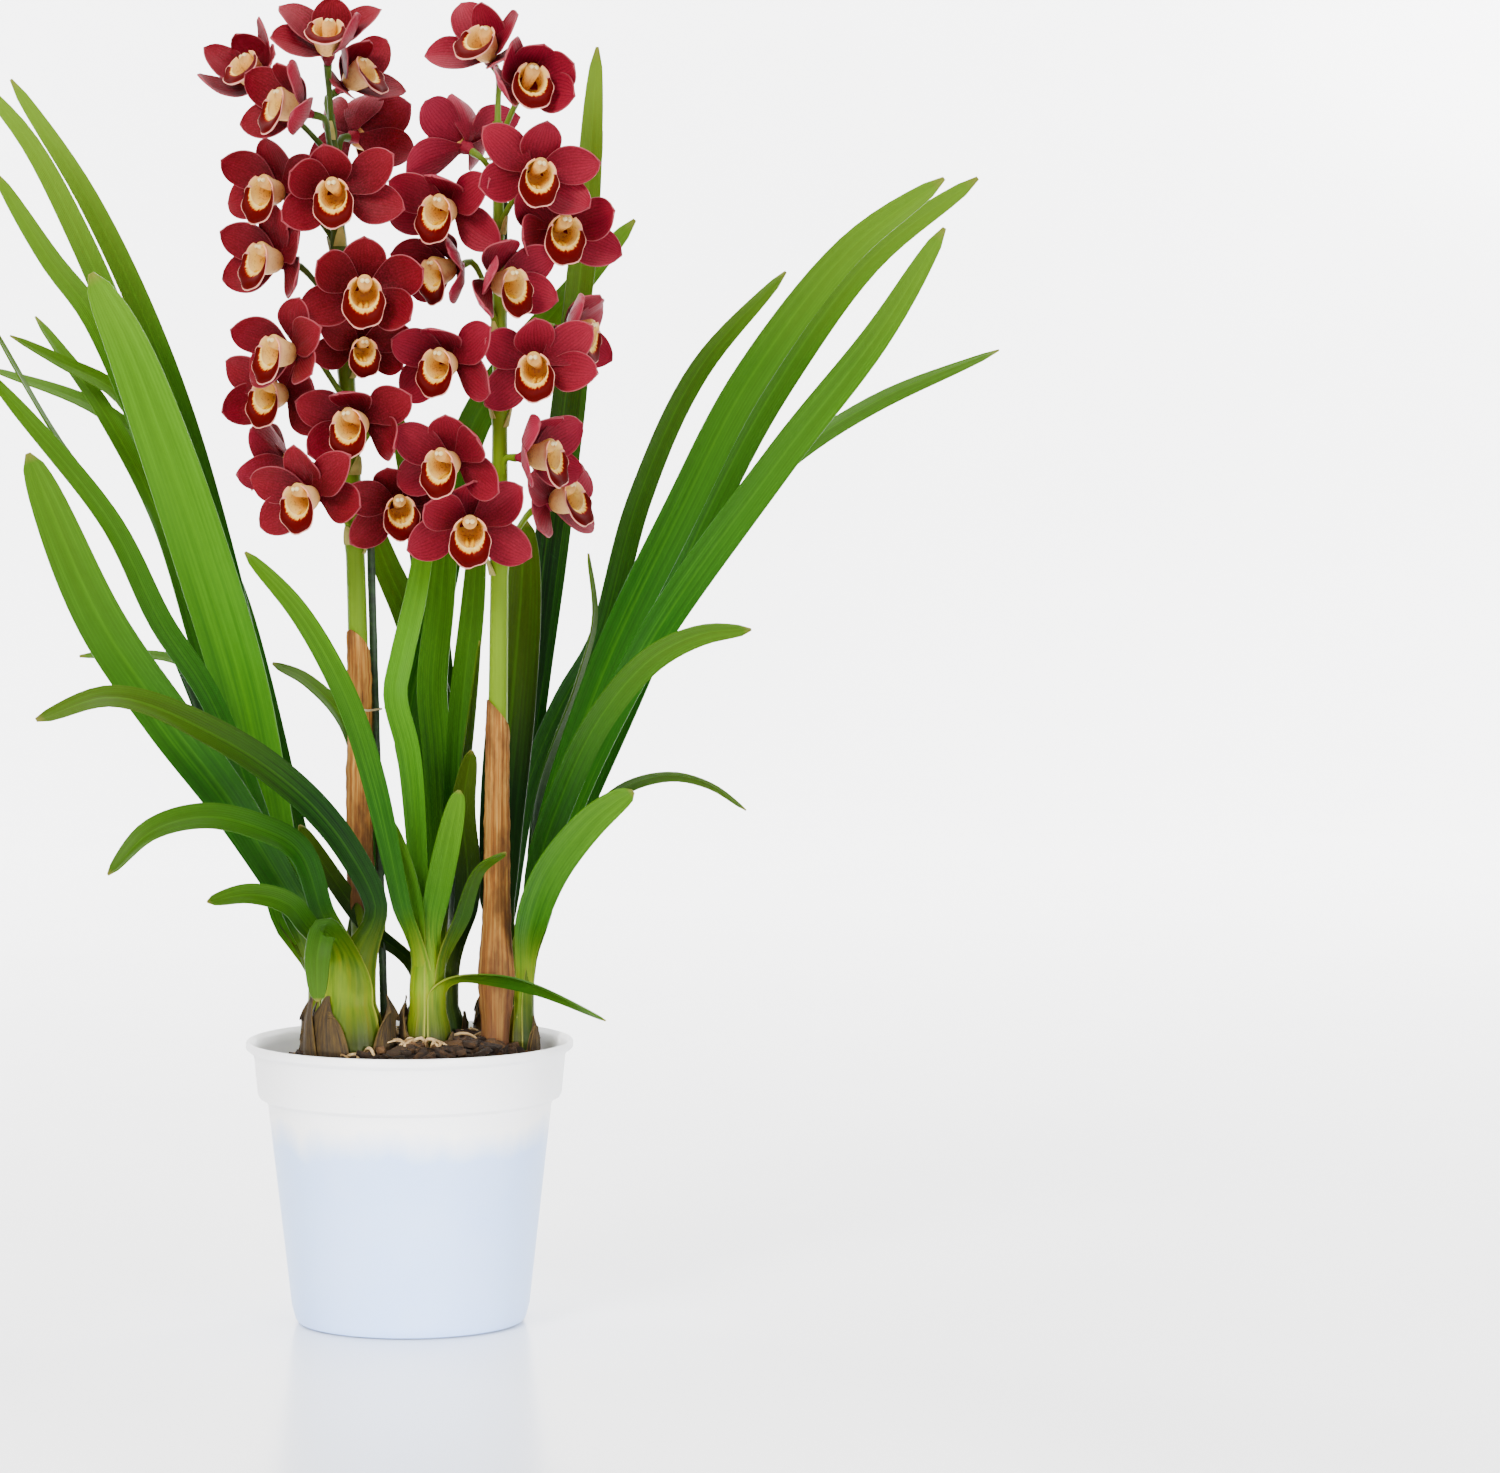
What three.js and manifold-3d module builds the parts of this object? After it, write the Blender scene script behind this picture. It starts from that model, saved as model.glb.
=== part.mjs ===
// A potted cymbidium orchid: a white nursery pot of bark mix, seven growths of strap leaves on their
// bulbs, and two staked flower spikes that carry thirty-one open blooms.
// Millimetres, +Z up, -Y towards the viewer. The origin is the centre of the pot's foot.
import * as THREE from "three";
import { mergeVertices } from "three/addons/utils/BufferGeometryUtils.js";
import Module from "manifold-3d";

const wasm = await Module();
wasm.setup();

// Driving dimensions
const POT_HEIGHT = 130;
const POT_WALL = 1.4;
const POT_SIDES = 28;
const FOOT_RADIUS = 50.5;
const FLOOR_TOP = 2.5;
const SHOULDER_Z = 101;
const RIM_RADIUS = 75;
const DRAIN_RADIUS = 4;
const DRAIN_CIRCLE_RADIUS = 33;
const DRAIN_COUNT = 4;
const SOIL_EDGE_Z = 113;
const SOIL_CROWN_Z = 129;
const CHIP_COUNT = 9;
const CHIP_SPREAD = 62;
const CHIP_TILT = 0.9;
const SEAT_GAP = 0.35;
const BLOOM_BACK = 4.2;
const STALK_RADIUS = 1.5;
const STALK_STEPS = 3;
const STALK_SIDES = 4;
const STALK_LEAD = 6;
const STEM_STEPS = 11;
const STEM_SIDES = 7;
const SLEEVE_GAP = 0.5;
const LEAF_THICKNESS = 1.2;

// Finishes
const finish = (color, roughness) => new THREE.MeshStandardMaterial({ color, roughness, metalness: 0 });
const potPlastic = finish("#eef1f6", 0.45);
const barkMix = finish("#3b261a", 0.95);
const bulbSkin = finish("#8c8a34", 0.55);
const leafGreen = finish("#4f8f24", 0.5);
const stemGreen = finish("#8fa63a", 0.5);
const dryBract = finish("#c39a6b", 0.75);
const stakeGreen = finish("#23361f", 0.5);
const tieWire = finish("#b9a98a", 0.7);
const petalRed = finish("#9c1629", 0.55);

// A repeatable draw from 0 to 1, for the small differences between pieces of bark.
function seededDraw(seed) {
  let state = seed;
  return () => {
    state = (state * 1664525 + 1013904223) % 4294967296;
    return state / 4294967296;
  };
}

// Solids from points and triangles

function solidOf(points, triangles) {
  const vertProperties = new Float32Array(points.flatMap((p) => [p.x, p.y, p.z]));
  const triVerts = new Uint32Array(triangles.flat());
  return new wasm.Manifold(new wasm.Mesh({ numProp: 3, vertProperties, triVerts }));
}

function solidOfGeometry(geometry) {
  const bare = geometry.clone();
  bare.deleteAttribute("normal");
  bare.deleteAttribute("uv");
  const merged = mergeVertices(bare, 1e-4);
  const vertProperties = new Float32Array(merged.attributes.position.array);
  const triVerts = new Uint32Array(merged.index.array);
  return new wasm.Manifold(new wasm.Mesh({ numProp: 3, vertProperties, triVerts }));
}

function geometryOfSolid(solid) {
  const mesh = solid.getMesh();
  const geometry = new THREE.BufferGeometry();
  const positions = new Float32Array(mesh.numVert * 3);
  for (let i = 0; i < mesh.numVert; i++) {
    positions.set(mesh.vertProperties.subarray(i * mesh.numProp, i * mesh.numProp + 3), i * 3);
  }
  geometry.setAttribute("position", new THREE.BufferAttribute(positions, 3));
  geometry.setIndex(new THREE.BufferAttribute(mesh.triVerts, 1));
  geometry.computeVertexNormals();
  return geometry;
}

// Keeps the main body where a cut has left loose scraps.
const largestBody = (solid) => solid.decompose().reduce((a, b) => (a.volume() > b.volume() ? a : b));

const fuse = (solids) => solids.reduce((joined, next) => joined.add(next));

function lathe(profile, sides) {
  const geometry = new THREE.LatheGeometry(profile.map(([r, z]) => new THREE.Vector2(r, z)), sides);
  geometry.rotateX(Math.PI / 2);
  return solidOfGeometry(geometry);
}

// A closed blade between an upper and a lower grid of points that meet along both side edges.
// Each row is one station from root to tip, and both faces are split the same way.
function blade(upper, lower) {
  const points = [];
  const indexOf = new Map();
  const at = (p) => {
    const key = `${p.x.toFixed(4)},${p.y.toFixed(4)},${p.z.toFixed(4)}`;
    if (!indexOf.has(key)) {
      indexOf.set(key, points.length);
      points.push(p);
    }
    return indexOf.get(key);
  };
  const triangles = [];
  const triangle = (a, b, c) => {
    if (a !== b && b !== c && a !== c) triangles.push([a, b, c]);
  };
  const across = upper[0].length - 1;
  for (let i = 0; i + 1 < upper.length; i++) {
    for (let c = 0; c < across; c++) {
      const up = [upper[i][c], upper[i][c + 1], upper[i + 1][c], upper[i + 1][c + 1]].map(at);
      const low = [lower[i][c], lower[i][c + 1], lower[i + 1][c], lower[i + 1][c + 1]].map(at);
      triangle(up[0], up[1], up[3]);
      triangle(up[0], up[3], up[2]);
      triangle(low[0], low[3], low[1]);
      triangle(low[0], low[2], low[3]);
    }
  }
  for (let c = 0; c < across; c++) {
    const root = [upper[0][c], upper[0][c + 1], lower[0][c], lower[0][c + 1]].map(at);
    triangle(root[0], root[3], root[1]);
    triangle(root[0], root[2], root[3]);
  }
  const solid = solidOf(points, triangles);
  return solid.volume() < 0 ? solidOf(points, triangles.map(([a, b, c]) => [a, c, b])) : solid;
}

// A closed tube along a curve, with its radius given by a function of the share of its length.
function tube(curve, radiusAt, steps, sides) {
  const frames = curve.computeFrenetFrames(steps, false);
  const points = [];
  const triangles = [];
  for (let i = 0; i <= steps; i++) {
    const centre = curve.getPointAt(i / steps);
    for (let k = 0; k < sides; k++) {
      const turn = (2 * Math.PI * k) / sides;
      points.push(
        centre
          .clone()
          .addScaledVector(frames.normals[i], radiusAt(i / steps) * Math.cos(turn))
          .addScaledVector(frames.binormals[i], radiusAt(i / steps) * Math.sin(turn)),
      );
    }
  }
  for (let i = 0; i < steps; i++) {
    for (let k = 0; k < sides; k++) {
      const next = (k + 1) % sides;
      const [a, b] = [i * sides + k, i * sides + next];
      triangles.push([a, b, b + sides], [a, b + sides, a + sides]);
    }
  }
  for (let k = 1; k + 1 < sides; k++) {
    const last = steps * sides;
    triangles.push([0, k + 1, k], [last, last + k, last + k + 1]);
  }
  const solid = solidOf(points, triangles);
  return solid.volume() < 0 ? solidOf(points, triangles.map(([a, b, c]) => [a, c, b])) : solid;
}

const TOWARDS_VIEWER = new THREE.Vector3(0, -1, 0);

const curveThrough = (points) => new THREE.CatmullRomCurve3(points.map((p) => new THREE.Vector3(...p)));

// Linear interpolation in a short list of [share, value] pairs.
function valueAt(pairs, share) {
  const next = pairs.findIndex(([s]) => s >= share);
  if (next < 1) return next === 0 ? pairs[0][1] : pairs.at(-1)[1];
  const [[s0, v0], [s1, v1]] = [pairs[next - 1], pairs[next]];
  return v0 + ((v1 - v0) * (share - s0)) / (s1 - s0);
}

// Pot: one thin lathe-turned wall with a stepped shoulder and a flared lip, and a floor with drain holes

const POT_OUTSIDE = [
  [FOOT_RADIUS, 0],
  [53, 2],
  [54.6, 8],
  [65, SHOULDER_Z],
  [69.4, SHOULDER_Z + 4.5],
  [71.4, 124],
  [RIM_RADIUS, 126.5],
  [RIM_RADIUS, POT_HEIGHT - 0.8],
  [RIM_RADIUS - 1, POT_HEIGHT],
];
const POT_INSIDE = [
  [71.2, 127],
  [71.4 - POT_WALL, 124],
  [69.4 - POT_WALL, SHOULDER_Z + 5],
  [65 - POT_WALL, SHOULDER_Z + 0.6],
  [54.6 - POT_WALL, 9],
  [50.8, FLOOR_TOP],
];

function potSolid() {
  const profile = [[0, 0], ...POT_OUTSIDE, ...POT_INSIDE, [0, FLOOR_TOP]];
  let pot = lathe(profile, POT_SIDES);
  for (let i = 0; i < DRAIN_COUNT; i++) {
    const turn = (2 * Math.PI * i) / DRAIN_COUNT;
    const drill = new THREE.CylinderGeometry(DRAIN_RADIUS, DRAIN_RADIUS, 4 * FLOOR_TOP, 8);
    drill.rotateX(Math.PI / 2);
    drill.translate(DRAIN_CIRCLE_RADIUS * Math.cos(turn), DRAIN_CIRCLE_RADIUS * Math.sin(turn), FLOOR_TOP);
    pot = pot.subtract(solidOfGeometry(drill));
  }
  return pot;
}

// Growths: each is a bulb seated in the bark, with a fan of strap leaves on its flat top.
// centre is x, y and radii are across and along the view. A leaf is its full width, its roll in
// degrees at the root and at the tip (0 faces the viewer, 90 is edge on), and the points of its midrib.

const GROWTHS = [
  {
    name: "back_left",
    centre: [-38, 28],
    radii: [12, 10],
    top: 146,
    leaves: [
      [12, 0, 10, [[-36, 27, 149], [-50, 27, 192], [-80, 34, 330], [-111, 40, 436], [-146, 48, 514],
        [-182, 58, 570]]],
      [12, 0, 10, [[-41, 26, 149], [-66, 22, 240], [-101, 16, 370], [-127, 14, 445], [-148, 12, 496],
        [-171, 14, 540], [-194, 18, 568]]],
      [13, 10, 20, [[-39, 28, 149], [-68, 38, 237], [-105, 52, 362], [-144, 62, 459], [-165, 68, 487],
        [-191, 76, 528]]],
      [11, 20, 40, [[-40, 30, 149], [-78, 54, 245], [-115, 72, 366], [-141, 82, 416], [-162, 90, 445],
        [-174, 96, 461]]],
      [11, 10, 50, [[-38, 31, 149], [-80, 66, 273], [-111, 80, 375], [-133, 76, 424], [-161, 70, 440],
        [-184, 66, 452]]],
      [11, 20, 50, [[-36, 32, 149], [-55, 60, 235], [-83, 86, 337], [-114, 98, 391], [-144, 104, 417],
        [-197, 110, 437]]],
      [8, 30, 60, [[-34, 33, 149], [-62, 72, 234], [-104, 92, 297], [-140, 96, 302], [-155, 98, 301]]],
      [10, 0, 50, [[-32, 28, 149], [-18, 34, 214], [-27, 38, 270], [-46, 46, 292], [-63, 54, 300]]],
    ],
  },
  {
    name: "mid_left",
    centre: [-44, 4],
    radii: [8, 8],
    top: 140,
    leaves: [
      [26, 0, 0, [[-44, 5, 143], [-57, 8, 196], [-76, 5, 290], [-95, 0, 356], [-112, -4, 408],
        [-127, -8, 449], [-142, -12, 480]]],
      [9, 60, 80, [[-47, 5, 143], [-87, 20, 257], [-137, 16, 372], [-158, 10, 404], [-188, -4, 458]]],
      [11, 0, 30, [[-45, 2, 143], [-56, -3, 195], [-89, -22, 288], [-111, -32, 324], [-133, -42, 370],
        [-186, -52, 436]]],
    ],
  },
  {
    name: "front_left",
    centre: [-27, -19],
    radii: [16, 13],
    top: 156,
    leaves: [
      [22, 0, 0, [[-32, -18, 159], [-45, -20, 182], [-81, -34, 243], [-107, -42, 279], [-137, -50, 325],
        [-168, -60, 400]]],
      [15, 10, 50, [[-20, -20, 159], [-14, -30, 190], [-27, -42, 221], [-49, -56, 249], [-84, -70, 275],
        [-130, -86, 294], [-163, -96, 284]]],
      [14, 20, 50, [[-27, -21, 159], [-38, -32, 188], [-49, -42, 221], [-67, -54, 233], [-91, -64, 239],
        [-115, -74, 233], [-133, -80, 214]]],
      [11, 20, 40, [[-32, -23, 159], [-42, -36, 178], [-53, -48, 197], [-71, -56, 203],
        [-90, -62, 200]]],
      [16, 10, 0, [[-29, -25, 159], [-33, -42, 178], [-38, -54, 186], [-41, -61, 176],
        [-41, -63, 155]]],
    ],
  },
  {
    name: "centre_front",
    centre: [8, -12],
    radii: [10, 8],
    top: 150,
    leaves: [
      [11, 0, 20, [[4, -12, 153], [-4, -24, 196], [-17, -30, 256], [-29, -32, 292], [-49, -32, 328],
        [-73, -32, 355]]],
      [11, 0, 0, [[6, -11, 153], [4, -8, 212], [0, -3, 262], [-6, 2, 288], [-3, 6, 305], [4, 10, 335],
        [12, 14, 385]]],
      [12, 0, 0, [[9, -12, 153], [8, -13, 172], [14, -16, 204], [23, -20, 246]]],
      [10, 0, 0, [[6, -13, 153], [1, -18, 195], [-9, -23, 233]]],
      [9, 0, 60, [[13, -12, 153], [22, -17, 180], [32, -22, 209], [44, -28, 218]]],
      [10, 40, 70, [[14, -14, 153], [27, -22, 160], [42, -32, 160], [60, -40, 156], [88, -52, 144]]],
    ],
  },
  {
    name: "centre_back",
    centre: [12, 26],
    radii: [12, 9],
    top: 148,
    leaves: [
      [15, 0, 0, [[8, 27, 151], [9, 34, 213], [14, 40, 273], [1, 46, 320], [-11, 50, 348],
        [-20, 54, 375]]],
      [16, 0, 20, [[10, 26, 151], [5, 32, 237], [0, 38, 271], [15, 42, 338], [27, 48, 401],
        [43, 58, 431], [78, 68, 473], [107, 74, 506]]],
      [14, 0, 0, [[13, 25, 151], [15, 25, 212], [13, 27, 262], [11, 30, 290], [15, 35, 330],
        [20, 40, 385]]],
      [12, 0, 0, [[14, 24, 151], [20, 24, 214], [25, 24, 284], [30, 25, 330], [33, 26, 372]]],
      [10, 60, 70, [[18, 23, 151], [23, 17, 225], [33, 17, 312]]],
      [14, 20, 20, [[10, 29, 151], [10, 42, 199], [15, 48, 283], [10, 52, 329], [-1, 56, 399],
        [-9, 60, 422]]],
    ],
  },
  {
    name: "back_right",
    centre: [44, 32],
    radii: [11, 9],
    top: 148,
    leaves: [
      [14, 50, 0, [[44, 32, 151], [48, 36, 223], [56, 42, 283], [64, 46, 348], [75, 52, 431],
        [83, 58, 501], [89, 64, 586]]],
      [13, 20, 30, [[46, 33, 151], [54, 50, 235], [73, 62, 281], [90, 70, 309], [109, 78, 375],
        [138, 86, 436], [179, 92, 482]]],
      [15, 0, 20, [[48, 32, 151], [70, 34, 209], [103, 32, 288], [137, 26, 367], [169, 20, 427],
        [212, 12, 486], [261, 4, 524]]],
      [13, 20, 50, [[48, 34, 151], [70, 50, 212], [99, 60, 291], [137, 66, 356], [175, 70, 391],
        [222, 74, 421], [279, 80, 445]]],
      [8, 0, 60, [[46, 36, 151], [62, 66, 281], [81, 80, 422], [86, 84, 492], [92, 88, 548]]],
      [22, 0, 0, [[42, 30, 151], [42, 29, 214], [48, 30, 284], [52, 32, 330], [54, 34, 367]]],
    ],
  },
  {
    name: "right",
    centre: [54, 6],
    radii: [8, 8],
    top: 144,
    leaves: [
      [11, 60, 80, [[55, 8, 147], [60, 16, 239], [79, 18, 294], [86, 18, 322], [83, 20, 352]]],
      [17, 0, 10, [[53, 8, 147], [62, 14, 215], [88, 10, 294], [125, 2, 372], [156, -6, 432],
        [201, -16, 491], [243, -24, 523]]],
      [16, 0, 10, [[55, 5, 147], [67, 2, 216], [105, -14, 304], [168, -34, 396], [212, -50, 454],
        [240, -58, 500]]],
      [14, 0, 30, [[56, 3, 147], [59, -8, 208], [69, -20, 241], [86, -34, 278], [109, -44, 306],
        [131, -54, 318], [153, -64, 321]]],
      [17, 10, 20, [[54, 2, 147], [55, -12, 181], [64, -26, 208], [80, -36, 230], [92, -41, 241],
        [101, -44, 247]]],
      [7, 30, 50, [[56, 4, 147], [62, -6, 190], [76, -18, 222], [96, -28, 246], [118, -34, 253],
        [136, -38, 249], [152, -42, 238]]],
    ],
  },
];

// A leaf blade's half width as a share of its greatest, along its length.
const LEAF_OUTLINE = [[0, 0.5], [0.16, 0.72], [0.52, 1], [0.7, 0.97], [0.88, 0.76], [1, 0]];
const LEAF_STATIONS = [0, 0.16, 0.34, 0.52, 0.7, 0.88, 1];
const KEEL_SHARE = 0.22;

function leafSolid([width, rootRoll, tipRoll, line]) {
  const curve = curveThrough(line);
  const upper = [];
  const lower = [];
  for (const share of LEAF_STATIONS) {
    const centre = curve.getPointAt(share);
    const along = curve.getTangentAt(share);
    const across = along.clone().cross(TOWARDS_VIEWER).normalize();
    const roll = THREE.MathUtils.degToRad(rootRoll + (tipRoll - rootRoll) * share);
    across.applyAxisAngle(along, roll);
    const face = across.clone().cross(along);
    const half = (valueAt(LEAF_OUTLINE, share) * width) / 2;
    const keel = centre.clone().addScaledVector(face, -KEEL_SHARE * half);
    const left = centre.clone().addScaledVector(across, -half);
    const right = centre.clone().addScaledVector(across, half);
    const thick = half > 0 ? LEAF_THICKNESS / 2 : 0;
    upper.push([left, half > 0 ? keel.clone().addScaledVector(face, thick) : left, right]);
    lower.push([left, half > 0 ? keel.clone().addScaledVector(face, -thick) : left, right]);
  }
  return blade(upper, lower);
}

// A bulb's outline from its buried foot to its flat top: share of height above the foot, share of radius.
const BULB_OUTLINE = [[0, 0.75], [0.32, 1], [0.72, 0.88], [1, 0.52]];
const BULB_SIDES = 10;
const BULB_FOOT_Z = 108;

function bulbSolid({ centre, radii, top }, margin) {
  const height = top - BULB_FOOT_Z;
  const profile = BULB_OUTLINE.map(([share, radius]) => [radius, share * height]);
  const solid = lathe([[0, 0], ...profile, [0, height]], BULB_SIDES);
  return solid
    .scale([radii[0] + margin, radii[1] + margin, 1])
    .translate([centre[0], centre[1], BULB_FOOT_Z - margin]);
}

// The sheathing leaf bases that clasp each other above the bulb.
const NECK_HEIGHT = 26;
const NECK_OUTLINE = [[0.5, 0], [0.56, 8], [0.44, NECK_HEIGHT]];

function fanSolid(growth) {
  const neck = lathe([[0, 0], ...NECK_OUTLINE, [0, NECK_HEIGHT]], 8)
    .scale([growth.radii[0], growth.radii[1], 1])
    .translate([growth.centre[0], growth.centre[1], growth.top + SEAT_GAP]);
  const bulbSpace = new THREE.BoxGeometry(2 * growth.radii[0] + 4, 2 * growth.radii[1] + 4, 20);
  bulbSpace.translate(growth.centre[0], growth.centre[1], growth.top + SEAT_GAP - 10);
  return largestBody(fuse([neck, ...growth.leaves.map(leafSolid)]).subtract(solidOfGeometry(bulbSpace)));
}

// Spikes: the route of each stem, its radius from foot to top, and its blooms from the top down.
// A bloom is its name, the middle of its lip's mouth (x, y, z), the way it faces (degrees from the
// viewer to the right, degrees up), its roll, its size in per cent, and how far below it its stalk
// leaves the stem.

const SPIKES = [
  {
    name: "left",
    line: [
      [-20, 8, 112],
      [-22.5, 8, 215],
      [-22.5, 8, 285],
      [-24, 7, 354],
      [-26, 6, 400],
      [-28.5, 4, 454],
      [-32, 1, 518],
      [-34, 0, 552],
    ],
    radius: [[0, 5.2], [0.4, 4.6], [0.7, 4], [0.9, 3.2], [1, 1.8]],
    blooms: [
      ["top", -35, -30, 590, 0, 50, -10, 100, 30],
      ["top_left", -74, -4, 575, -45, 38, 30, 100, 30],
      ["top_right", -17, 6, 573, 56, 30, -5, 95, 26],
      ["upper_left_inner", -59, -34, 556, -58, 14, 5, 100, 24],
      ["turned_away", -16, 37, 544, 150, 5, 0, 100, 24],
      ["left_2", -66, -12, 517, -38, 2, -5, 100, 24],
      ["front_2", -33, -38, 515, -10, 0, 6, 102, 20],
      ["left_3", -68, -16, 487, -48, 8, -5, 100, 24],
      ["front_3", -19, -36, 471, 0, -2, -3, 106, 20],
      ["left_4", -62, -32, 445, -48, 4, -5, 100, 24],
      ["inner_4", -19, -19, 445, 12, -10, 0, 80, 12],
      ["left_5", -65, 0, 425, -36, 0, -5, 100, 24],
      ["front_5", -27, -34, 412, -26, 0, 8, 102, 20],
      ["left_6", -50, -34, 378, -32, -6, 5, 100, 20],
      ["back_6", -69, 24, 395, -100, 5, 0, 95, 20],
      ["right_6", -3, -18, 373, 6, -5, 5, 92, 20],
    ],
  },
  {
    name: "right",
    line: [
      [39, 0, 112],
      [39.5, 0, 157],
      [40, 0, 216],
      [41, 0, 285],
      [42, 0, 377],
      [42, 0, 468],
      [41.5, 0, 549],
    ],
    radius: [[0, 5], [0.5, 4.2], [0.75, 3.2], [1, 2.2]],
    blooms: [
      ["top_left", 33, -8, 587, -26, 38, -12, 100, 22],
      ["top_right", 57, -38, 567, 14, 18, -10, 104, 22],
      ["turned_away", 18, 14, 544, -140, 25, 0, 100, 14],
      ["right_2", 60, -38, 524, 10, 0, -10, 100, 22],
      ["left_2", 13, -26, 508, -28, 0, -8, 100, 22],
      ["right_3", 72, -20, 499, 14, 0, -8, 104, 22],
      ["left_3", 11, -8, 480, -48, -12, 0, 95, 22],
      ["front_3", 49, -36, 475, 38, -2, 5, 100, 22],
      ["left_4", 13, -28, 439, -28, 0, -5, 100, 22],
      ["front_4", 57, -34, 437, -10, -2, 5, 100, 22],
      ["right_4", 85, -4, 452, 66, -10, 0, 92, 26],
      ["left_5", 14, -40, 394, -28, -3, 0, 100, 22],
      ["right_5", 67, -18, 398, 56, 4, 0, 100, 22],
      ["right_6", 77, 4, 379, 50, 16, 0, 100, 24],
      ["front_6", 28, -33, 363, 0, -10, 0, 104, 22],
    ],
  },
];

// One bloom, in its own frame: x to its right, y up, z the way it faces, from where its parts join.

const MOUTH = new THREE.Vector3(0, -1, 16.5);
const TEPAL_OUTLINE = [[0, 0.16], [0.42, 0.92], [0.8, 0.9], [1, 0]];
const TEPAL_STATIONS = [0, 0.42, 0.8, 1];
const TEPAL_THICKNESS = 1;
// Each tepal's direction in degrees from the bloom's right, its length, width, how far it stands out
// in front of the joint (the two petals before the three sepals), and its forward curl.
const TEPALS = [
  [90, 20.5, 17, 0.4, 12],
  [27, 26, 15, 2.8, 10],
  [153, 26, 15, 2.8, 10],
  [-24, 26, 17, 0.4, 9],
  [204, 26, 17, 0.4, 9],
];
const TEPAL_ROOT = 2.4;

function tepalSolid([direction, length, width, stand, curl]) {
  const turn = THREE.MathUtils.degToRad(direction);
  const outward = new THREE.Vector3(Math.cos(turn), Math.sin(turn), 0);
  const sideways = new THREE.Vector3(-Math.sin(turn), Math.cos(turn), 0);
  const forward = new THREE.Vector3(0, 0, 1);
  const upper = [];
  const lower = [];
  for (const share of TEPAL_STATIONS) {
    const half = (valueAt(TEPAL_OUTLINE, share) * width) / 2;
    const centre = outward
      .clone()
      .multiplyScalar(TEPAL_ROOT + (length - TEPAL_ROOT) * share)
      .addScaledVector(forward, stand + curl * share ** 1.4);
    const cup = 0.18 * half;
    const left = centre.clone().addScaledVector(sideways, -half).addScaledVector(forward, cup);
    const right = centre.clone().addScaledVector(sideways, half).addScaledVector(forward, cup);
    const thick = half > 0 ? TEPAL_THICKNESS / 2 : 0;
    upper.push([left, half > 0 ? centre.clone().addScaledVector(forward, thick) : left, right]);
    lower.push([left, half > 0 ? centre.clone().addScaledVector(forward, -thick) : left, right]);
  }
  return blade(upper, lower);
}

function ringed(stations, sides, heightShare) {
  const points = [];
  const triangles = [];
  for (const [radius, z] of stations) {
    for (let k = 0; k < sides; k++) {
      const turn = (2 * Math.PI * k) / sides;
      points.push(new THREE.Vector3(radius * Math.cos(turn), radius * heightShare * Math.sin(turn), z));
    }
  }
  for (let i = 0; i + 1 < stations.length; i++) {
    for (let k = 0; k < sides; k++) {
      const next = (k + 1) % sides;
      const [a, b] = [i * sides + k, i * sides + next];
      triangles.push([a, b, b + sides], [a, b + sides, a + sides]);
    }
  }
  for (let k = 1; k + 1 < sides; k++) {
    const last = (stations.length - 1) * sides;
    triangles.push([0, k + 1, k], [last, last + k, last + k + 1]);
  }
  const solid = solidOf(points, triangles);
  return solid.volume() < 0 ? solidOf(points, triangles.map(([a, b, c]) => [a, c, b])) : solid;
}

// The lip: a throat that wraps the column and ends in a round mouth, with a tongue that hangs from it.
const THROAT = [[1.9, -BLOOM_BACK], [3.6, -0.8], [5.4, 5.5], [7.2, 16.5], [6.1, 16.5], [2.8, 5]];
const TONGUE = [[0, -7.4, 13.5, 11], [0, -11, 18.5, 17], [0, -15.5, 20, 11.5], [0, -18.5, 20, 0]];

function tongueSolid() {
  const upper = [];
  const lower = [];
  for (const [x, y, z, width] of TONGUE) {
    const centre = new THREE.Vector3(x, y, z);
    const left = new THREE.Vector3(-width / 2, y, z - 0.12 * width);
    const right = new THREE.Vector3(width / 2, y, z - 0.12 * width);
    const thick = width > 0 ? 0.5 : 0;
    upper.push([left, width > 0 ? centre.clone().add(new THREE.Vector3(0, thick, thick)) : left, right]);
    lower.push([left, width > 0 ? centre.clone().add(new THREE.Vector3(0, -thick, -thick)) : left, right]);
  }
  return blade(upper, lower);
}

function bloomTemplate() {
  const throat = ringed(THROAT, 6, 1.12).translate([0, MOUTH.y, 0]);
  return largestBody(fuse([throat, tongueSolid(), ...TEPALS.map(tepalSolid)]));
}

// The bloom's place and turn in the plant: its frame's origin and its three directions.
function bloomFrame([, x, y, z, azimuth, pitch, roll, size]) {
  const [a, p] = [azimuth, pitch].map(THREE.MathUtils.degToRad);
  const forward = new THREE.Vector3(Math.sin(a) * Math.cos(p), -Math.cos(a) * Math.cos(p), Math.sin(p));
  const right = new THREE.Vector3(0, 0, 1).cross(forward).normalize();
  right.applyAxisAngle(forward, THREE.MathUtils.degToRad(roll));
  const up = forward.clone().cross(right);
  const scale = size / 100;
  const frame = new THREE.Matrix4().makeBasis(right, up, forward);
  frame.scale(new THREE.Vector3(scale, scale, scale));
  const mouth = MOUTH.clone().applyMatrix4(frame);
  frame.setPosition(new THREE.Vector3(x, y, z).sub(mouth));
  return frame;
}

const placed = (solid, frame) => solid.transform(frame.elements);

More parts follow.
